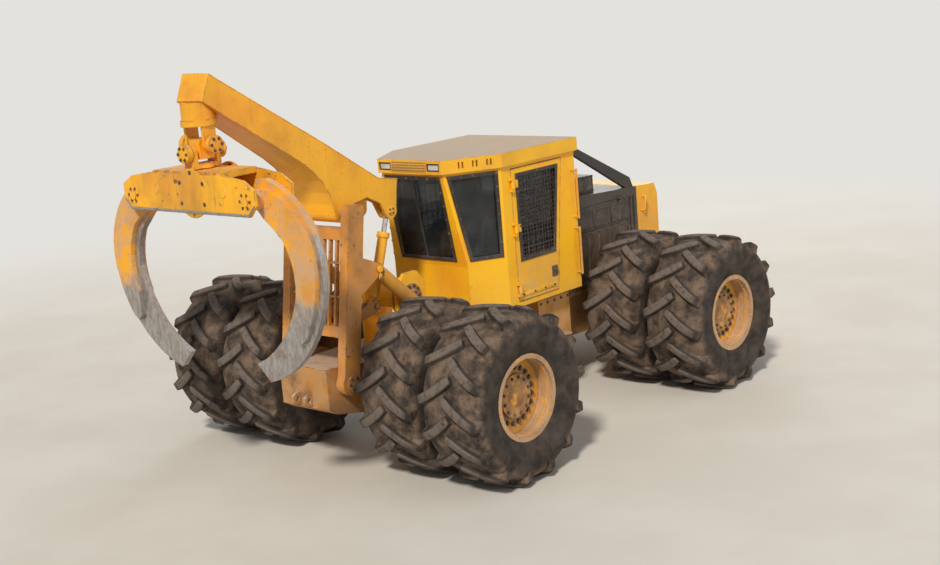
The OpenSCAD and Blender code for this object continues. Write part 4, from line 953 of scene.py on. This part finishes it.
def makePad(name, low, high, crownAxis, channels, lean):
    # block divided into a grid, then drawn in at the sides, crowned, and pulled down along its seams
    clearSelection()
    bpy.ops.mesh.primitive_cube_add(size=2, location=(0, 0, 0))
    pad = bpy.context.object
    editAll()
    bpy.ops.mesh.subdivide(number_cuts=seat["cuts"])
    bpy.ops.object.mode_set(mode="OBJECT")
    low, high = seatSpot(*low), seatSpot(*high)
    middle = (low + high) / 2
    half = (high - low) / 2
    wide = [k for k in range(3) if k != crownAxis]
    for vertex in pad.data.vertices:
        u = vertex.co.copy()
        a, b = (u[k] for k in wide)
        bulge = (1 - a * a) * (1 - b * b)
        point = Vector((0, 0, 0))
        for k, other in (wide, reversed(wide)):
            corner = 1 - 0.07 * u[k] ** 2 * (1 - u[other] ** 2) * (1 - abs(u[crownAxis]))
            corner -= 0.10 * abs(u[crownAxis]) ** 4 * abs(u[k]) ** 3
            point[k] = u[k] * half[k] * corner
        thick = half[crownAxis] - seat["crown"]
        face = max(u[crownAxis], 0)
        point[crownAxis] = u[crownAxis] * thick + seat["crown"] * bulge * u[crownAxis]
        for place in channels:
            depth = math.exp(-((a - place) / seat["seam"]) ** 2) * (1 - b ** 8)
            point[crownAxis] -= seat["channel"] * face * depth
        vertex.co = point
    pad.data.update()
    pick(pad)
    pad.data.transform(Matrix.Translation(middle) @ Matrix.Rotation(math.radians(-lean), 4, "Y"))
    subdivision = pad.modifiers.new("round", "SUBSURF")
    subdivision.levels = subdivision.render_levels = 1
    settle(pad)
    bpy.ops.object.shade_smooth()
    pad.name = name
    return pad


for name, row in seat["pads"].items():
    pad = makePad(name, *row)
    handOver([pad], name, "front", seatVinyl)

base = seat["floor"]
bellows = [(150, 0), (150, 40), (118, 55)]
for fold in range(5):
    bellows += [(138, 80 + 46 * fold), (112, 103 + 46 * fold)]
bellows += [(150, 310), (165, 318), (165, 338)]
inside = [
    spinLine("bellows", [seatSpot(r, 0, z) for r, z in bellows], 28, seatSpot(0, 0, 0), (0, 0, 1)),
    addPlate("seatPan", [seatSpot(x, -212, z) for x, z in seat["pan"]], (0, 0.424, 0), 0.006),
]
for hand in (-1, 1):
    arm = [seatSpot(x, hand * 214, z) for x, z in seat["arm"]]
    inside.append(addPlate("armrest", arm, (0, hand * 0.034, 0), 0.010))
    lever = [seatSpot(200 + r, hand * 231, z) for r, z in seat["lever"]]
    inside.append(spinLine("lever", lever, 18, seatSpot(200, hand * 231, 0), (0, 0, 1)))
inside.append(addPlate("dash", [spot(x, -440, base + z) for x, z in seat["dash"]], (0, 0.88, 0), 0.016))
slopeFoot, slopeTop = (spot(x, 0, base + z) for x, z in (seat["dash"][5], seat["dash"][4]))
slope = (slopeTop - slopeFoot).normalized()
out = Vector((-slope.z, 0, slope.x))


def dashOblong(y0, a0, y1, a1, proud):
    # a rectangle on the dash's slope: across in mm, up the slope and out from it in metres
    return [slopeFoot + Vector((0, y / 1000, 0)) + slope * a + out * proud for y, a in oblong(y0, a0, y1, a1)]


inside.append(addFrame("screenFrame", dashOblong(-150, 0.03, 150, 0.165, 0.001), out, 0.014, 0.014))
for row in range(2):
    for column in range(4):
        for hand in (-1, 1):
            y, a = hand * (205 + column * 52), 0.04 + 0.065 * row
            inside.append(addPlate("switch", dashOblong(y - 18, a, y + 18, a + 0.04, 0.0), out * 0.009, 0.003))
for y in (-110, 110):
    pedal = [spot(560 + a, y - 45, base + b) for a, b in seat["pedal"]]
    inside.append(addPlate("pedal", pedal, (0, 0.09, 0), 0.006))
handOver(inside, "operatorPlace", "front", cabPlastic, ["cab_interior"])
screen = addPlate("dashScreen", dashOblong(-138, 0.042, 138, 0.153, 0.003), out * 0.003)
handOver([screen], "dashScreen", "front", darkGlass)
print("operator's place made")

# Lamps in the roof's pockets: bezel, ribbed lens
lamp = {
    "wide": 190, "tall": 90, "low": 3025, "gap": 3, "sunk": 26, "ribs": 9,
    "rows": ((1046, 1, 330), (-976, -1, 280)),        # face, way that it looks, start of the lamps
}
bezels, lenses = [], []
for face, way, start in lamp["rows"]:
    out = Vector((way, 0, 0))
    for hand in (-1, 1):
        a, b = hand * (start + lamp["gap"]), hand * (start + lamp["wide"] - lamp["gap"])
        edges = oblong(a, lamp["low"] + lamp["gap"], b, lamp["low"] + lamp["tall"] - lamp["gap"])
        around = [spot(face - way * lamp["sunk"], y, z) for y, z in edges]
        bezels.append(addFrame("bezel", around, out, 0.012, 0.024))
        lens = addPlate("lens", growCorners(around, -0.010), out * 0.014)
        for step in range(1, lamp["ribs"]):
            pick(lens)
            editAll()
            y = (a + (b - a) * step / lamp["ribs"]) / 1000
            bpy.ops.mesh.bisect(plane_co=(0, y, 0), plane_no=(0, 1, 0))
            bpy.ops.object.mode_set(mode="OBJECT")
        lenses.append(lens)
handOver(bezels, "lampBezels", "front", blackEnamel)
handOver(lenses, "lampLenses", "front", lampLens)
print("lamps made")

# Pin heads: a chamfered cap on each pin's end, some with a ring of bolts, some with a keeper plate
pinParts = {}           # body -> caps and keepers


def unitOf(axis, way):
    return Vector([way if letter == axis else 0 for letter in "xyz"])


def pinHead(body, point, axis, way, radius, thick=0.012, bolts=0, ring=0.0, scale=1.0, rise=1.0):
    # turned cap about the pin's axis, standing on the face at point
    out = unitOf(axis, way)
    side = unitOf("z" if axis != "z" else "x", 1)
    line = [(0, thick), (radius * 0.80, thick), (radius, thick * 0.45), (radius, -0.002)]
    cap = spinLine("cap", [point + side * r + out * h for r, h in line], 32, point, out)
    pinParts.setdefault(body, []).append(cap)
    for number in range(bolts):
        turn = Matrix.Rotation(2 * math.pi * (number + 0.5) / bolts, 3, out)
        boltAt(body, point + turn @ side * ring + out * thick, out, scale, rise)


def keeper(body, point, axis, way, along, length, width):
    # flat bar let in at a pin's end, held by two bolts
    out = unitOf(axis, way)
    along = Vector(along).normalized()
    cross = out.cross(along)
    corners = [point + along * a * length / 2 + cross * b * width / 2 for a, b in oblong(-1, -1, 1, 1)]
    pinParts.setdefault(body, []).append(addPlate("keeper", corners, out * 0.010, 0.002))
    for a in (-1, 1):
        boltAt(body, point + along * a * length * 0.36 + out * 0.010, out, 0.9)


# pins across the machine: x, half width, z, then radius, thickness, bolts, their ring and scale
pins = {
    "rear": (-2620, 535, 1020, 0.086, 0.010, 6, 0.066, 0.9),
    "arch": (-2075, 525, 2150, 0.040),
    "boom": (-1610, 299, 2690, 0.052, 0.008, 4, 0.034, 0.7),
    "swing_cross": (-3850, 236, 3740, 0.088, 0.008, 6, 0.064),
    "front": (2480, 639, 820, 0.052, 0.012, 3, 0.030, 0.9),
}
for hand in (-1, 1):
    for body, (x, y, z, *look) in pins.items():
        pinHead(body, spot(x, hand * y, z), "y", hand, *look)
        if body == "arch":
            keeper(body, spot(-2075, hand * 521, 2086), "y", hand, (0.4, 0, 1), 0.09, 0.04)
    pinHead("swing_cross", spot(-3850 + hand * 236, 0, 3670), "x", hand, 0.088, 0.008, 6, 0.064)
    for way in (-1, 1):
        point = spot(head["x"] + way * head["half"], hand * 875, head["z"])
        pinHead("grapple", point, "x", way, 0.090, 0.004, 6, 0.070, 1.0, 0.45)
print("pins dressed")

# Boom: weld beads along the seams of its box
boomEdge = {
    "top": [(-3820, 4423), (-1760, 3078), (-1470, 3023)],
    "under": [(-2450, 2900), (-2490, 3030), (-2570, 3170), (-2700, 3320), (-2850, 3440), (-3930, 4170)],
    "tipX": -3700, "tipHalf": 205, "heelX": -2500, "heelHalf": 300, "bead": 0.006, "step": 130,
}


def boomHalf(x):
    share = (x - boomEdge["tipX"]) / (boomEdge["heelX"] - boomEdge["tipX"])
    return boomEdge["tipHalf"] + (boomEdge["heelHalf"] - boomEdge["tipHalf"]) * min(max(share, 0), 1)


def alongBoom(points):
    path = []
    for (x0, z0), (x1, z1) in zip(points, points[1:]):
        count = max(1, round(math.hypot(x1 - x0, z1 - z0) / boomEdge["step"]))
        path += [(x0 + (x1 - x0) * n / count, z0 + (z1 - z0) * n / count) for n in range(count)]
    return path + [points[-1]]


beads = []
for hand in (-1, 1):
    for line in ("top", "under"):
        seam = [spot(x, hand * (boomHalf(x) - 2), z) for x, z in alongBoom(boomEdge[line])]
        beads.append(addRod("bead", seam, boomEdge["bead"], 8))
handOver(beads, "boomBeads", "boom", boomEnamel)

# Blade: cutting edge bolted along its foot. Foot and head are taken from the arm's pin, before the turn at rest
edge = {
    "pin": (2480, 820), "rest": 18, "foot": (1463, -684), "head": (1352, -490), "half": 1515, "tall": 0.19,
    "thick": 0.016, "bolts": 22, "boltUp": 0.11,
}


def bladeSpot(a, b):
    turn = math.radians(edge["rest"])
    x, z = edge["pin"]
    return spot(x + a * math.cos(turn) - b * math.sin(turn), 0, z + a * math.sin(turn) + b * math.cos(turn))


low = bladeSpot(*edge["foot"])
climb = (bladeSpot(*edge["head"]) - low).normalized()
proud = Vector((climb.z, 0, -climb.x))
half = edge["half"]
outline = [low + Vector((0, y / 1000, 0)) + climb * a for y, a in oblong(-half, 0, half, edge["tall"])]
edgePlate = addPlate("cuttingEdge", outline, proud * edge["thick"], 0.004)
handOver([edgePlate], "cuttingEdge", "blade", scrapedSteel)
for number in range(edge["bolts"]):
    y = (-edge["half"] + (number + 0.5) * 2 * edge["half"] / edge["bolts"]) / 1000
    boltAt("blade", low + Vector((0, y, 0)) + climb * edge["boltUp"] + proud * edge["thick"], proud, 1.3)
print("blade dressed")

# Winch: stepped bearing covers with bolt rings, and bolts along its foot
winch = {
    "x": -1420, "z": 1690, "face": 300,
    "footBolts": ((-1590, 1250), (-1480, 1230), (-1360, 1230), (-1240, 1250)),
}
# Steps: raised grips and bolts on the tanks, filler caps
steps = {
    "x": 378, "y": 691, "z": 810, "pitch": 29.5, "rowPitch": 29, "shift": 8, "grip": ((7, 0), (3.5, 5), (0, 5)),
    "filler": (830, 560, 1270), "cap": ((0, 36), (34, 36), (46, 30), (46, 12), (60, 10), (60, -2)),
}
for hand, side in sides:
    cover = spot(winch["x"], hand * winch["face"], winch["z"])
    pinHead("rear", cover, "y", hand, 0.150, 0.022, 10, 0.120, 1.2)
    pinHead("rear", cover + Vector((0, hand * 0.022, 0)), "y", hand, 0.085, 0.030, 6, 0.056, 0.9)
    for x, z in winch["footBolts"]:
        boltAt("rear", spot(x, hand * winch["face"], z), (0, hand, 0), 1.6)
    grips = []
    for row in range(4):
        for column in range(14):
            x = steps["x"] + column * steps["pitch"] + (row % 2) * steps["shift"]
            y = hand * (steps["y"] + row * steps["rowPitch"])
            grip = [spot(x + r, y, steps["z"] + h) for r, h in steps["grip"]]
            grips.append(spinLine("grip", grip, 8, spot(x, y, 0), (0, 0, 1)))
    handOver(grips, "stepTread_" + side, "front", boltSteel)
    x, y, z = steps["filler"]
    cap = [spot(x + r, hand * y, z + h) for r, h in steps["cap"]]
    filler = spinLine("filler", cap, 24, spot(x, hand * y, z), (0, 0, 1))
    handOver([filler], "tankCap_" + side, "front", blackEnamel)
    for x in range(380, 920, 130):
        boltAt("front", spot(x, hand * 670.3, 1225), (0, hand, 0), 1.1)
print("winch, steps and tanks dressed")

for body, parts in pinParts.items():
    coat = {"front": dustyEnamel, "rear": frameEnamel}.get(body, boomEnamel)
    handOver(parts, "pins_" + body, body, coat)

# All bolts of a body in one piece
for body, places in boltPlaces.items():
    handOver(placeCopies(hexBolt, places), "bolts_" + body, body, boltSteel)
bpy.data.objects.remove(hexBolt)
print("bolts placed:", sum(len(p) for p in boltPlaces.values()))

# Floor: swept concrete, pale and matt. Far off, the eye sees the backdrop's colour, so it has no far edge
studio = {
    "floor": "D0CCC4", "swept": "D6D3CC", "fade": (7.5, 19.0), "backdrop": "E4E2DD",
    "sky": "EEF2F7", "skyLight": 0.33,
}
clearSelection()
bpy.ops.mesh.primitive_plane_add(size=160, location=(0, 0, 0))
floor = bpy.context.object
floor.name = "floor"
paleFloor, tree, place = startMaterial("paleFloor")
swept = layCoats(tree, studio["floor"], (speckle(place, 1.8, 0.35, 0.7, 3.0), studio["swept"]))
concrete = addNode(tree, "BsdfPrincipled", {}, {"Base Color": swept, "Roughness": 0.9})
away = addNode(tree, "VectorMath", "LENGTH", {0: place}, "Value")
far = addNode(tree, "MapRange", "SMOOTHSTEP",
              {"Value": away, "From Min": studio["fade"][0], "From Max": studio["fade"][1]})
seenFar = addNode(tree, "Math", "MULTIPLY", {0: far, 1: addNode(tree, "LightPath", output="Is Camera Ray")})
farFloor = addNode(tree, "Emission", {}, {"Color": srgb(studio["backdrop"]), "Strength": 1.0})
floorMix = addNode(tree, "MixShader", {}, {0: seenFar, 1: concrete, 2: farFloor})
addNode(tree, "OutputMaterial", {}, {"Surface": floorMix}, None)
floor.data.materials.append(paleFloor)

world = bpy.data.worlds.new("studio")
bpy.context.scene.world = world
world.use_nodes = True
sky = world.node_tree
sky.nodes.clear()
seen = 0.0
for ray in ("Is Camera Ray", "Is Transmission Ray", "Is Glossy Ray"):
    seen = addNode(sky, "Math", {"operation": "ADD", "use_clamp": True},
                   {0: seen, 1: addNode(sky, "LightPath", output=ray)})
ambient = addNode(sky, "Background", {}, {"Color": srgb(studio["sky"]), "Strength": studio["skyLight"]})
backdrop = addNode(sky, "Background", {}, {"Color": srgb(studio["backdrop"]), "Strength": 1.0})
both = addNode(sky, "MixShader", {}, {0: seen, 1: ambient, 2: backdrop})
addNode(sky, "OutputWorld", {}, {"Surface": both}, None)

# kind, place, size (the sun's is an angle), power, colour
lights = {
    "key": ("SUN", (-9.0, -5.0, 10.5), math.radians(7), 2.9, "FFF6E8"),
    "fill": ("AREA", (6.0, -22.0, 9.0), 12.0, 800, "F1F5FF"),
    "front": ("AREA", (20.0, 12.0, 12.0), 12.0, 1300, "FFFFFF"),
}
aim = Vector((0, 0, 1.4))
for name, (kind, place, size, power, colour) in lights.items():
    light = bpy.data.lights.new(name, kind)
    setattr(light, "angle" if kind == "SUN" else "size", size)
    light.energy = power
    light.color = srgb(colour)[:3]
    item = bpy.data.objects.new(name, light)
    item.location = place
    item.rotation_euler = (aim - Vector(place)).to_track_quat("-Z", "Y").to_euler()
    bpy.context.scene.collection.objects.link(item)

# Camera as fitted to the photograph: angles in degrees, focal length in the photograph's pixels
view = {
    "place": (-13.04, -11.86, 5.25), "yaw": 42.47, "pitch": -11.92, "roll": -4.74, "focal": 1500,
    "photoWide": 940, "sensor": 36,
}
yaw, pitch, roll = (math.radians(view[k]) for k in ("yaw", "pitch", "roll"))
ahead = Vector((math.cos(pitch) * math.cos(yaw), math.cos(pitch) * math.sin(yaw), math.sin(pitch)))
right = Vector((math.sin(yaw), -math.cos(yaw), 0))
up = right.cross(ahead)
rightRolled = math.cos(roll) * right + math.sin(roll) * up
upRolled = -math.sin(roll) * right + math.cos(roll) * up
camera = bpy.data.objects.new("camera", bpy.data.cameras.new("camera"))
camera.data.sensor_width = view["sensor"]
camera.data.lens = view["focal"] / view["photoWide"] * view["sensor"]
camera.data.clip_end = 300
turn = Matrix((rightRolled, upRolled, -ahead)).transposed().to_4x4()
camera.matrix_world = Matrix.Translation(view["place"]) @ turn
bpy.context.scene.collection.objects.link(camera)
bpy.context.scene.camera = camera
bpy.context.scene.view_settings.view_transform = "Standard"

print("scene ready")
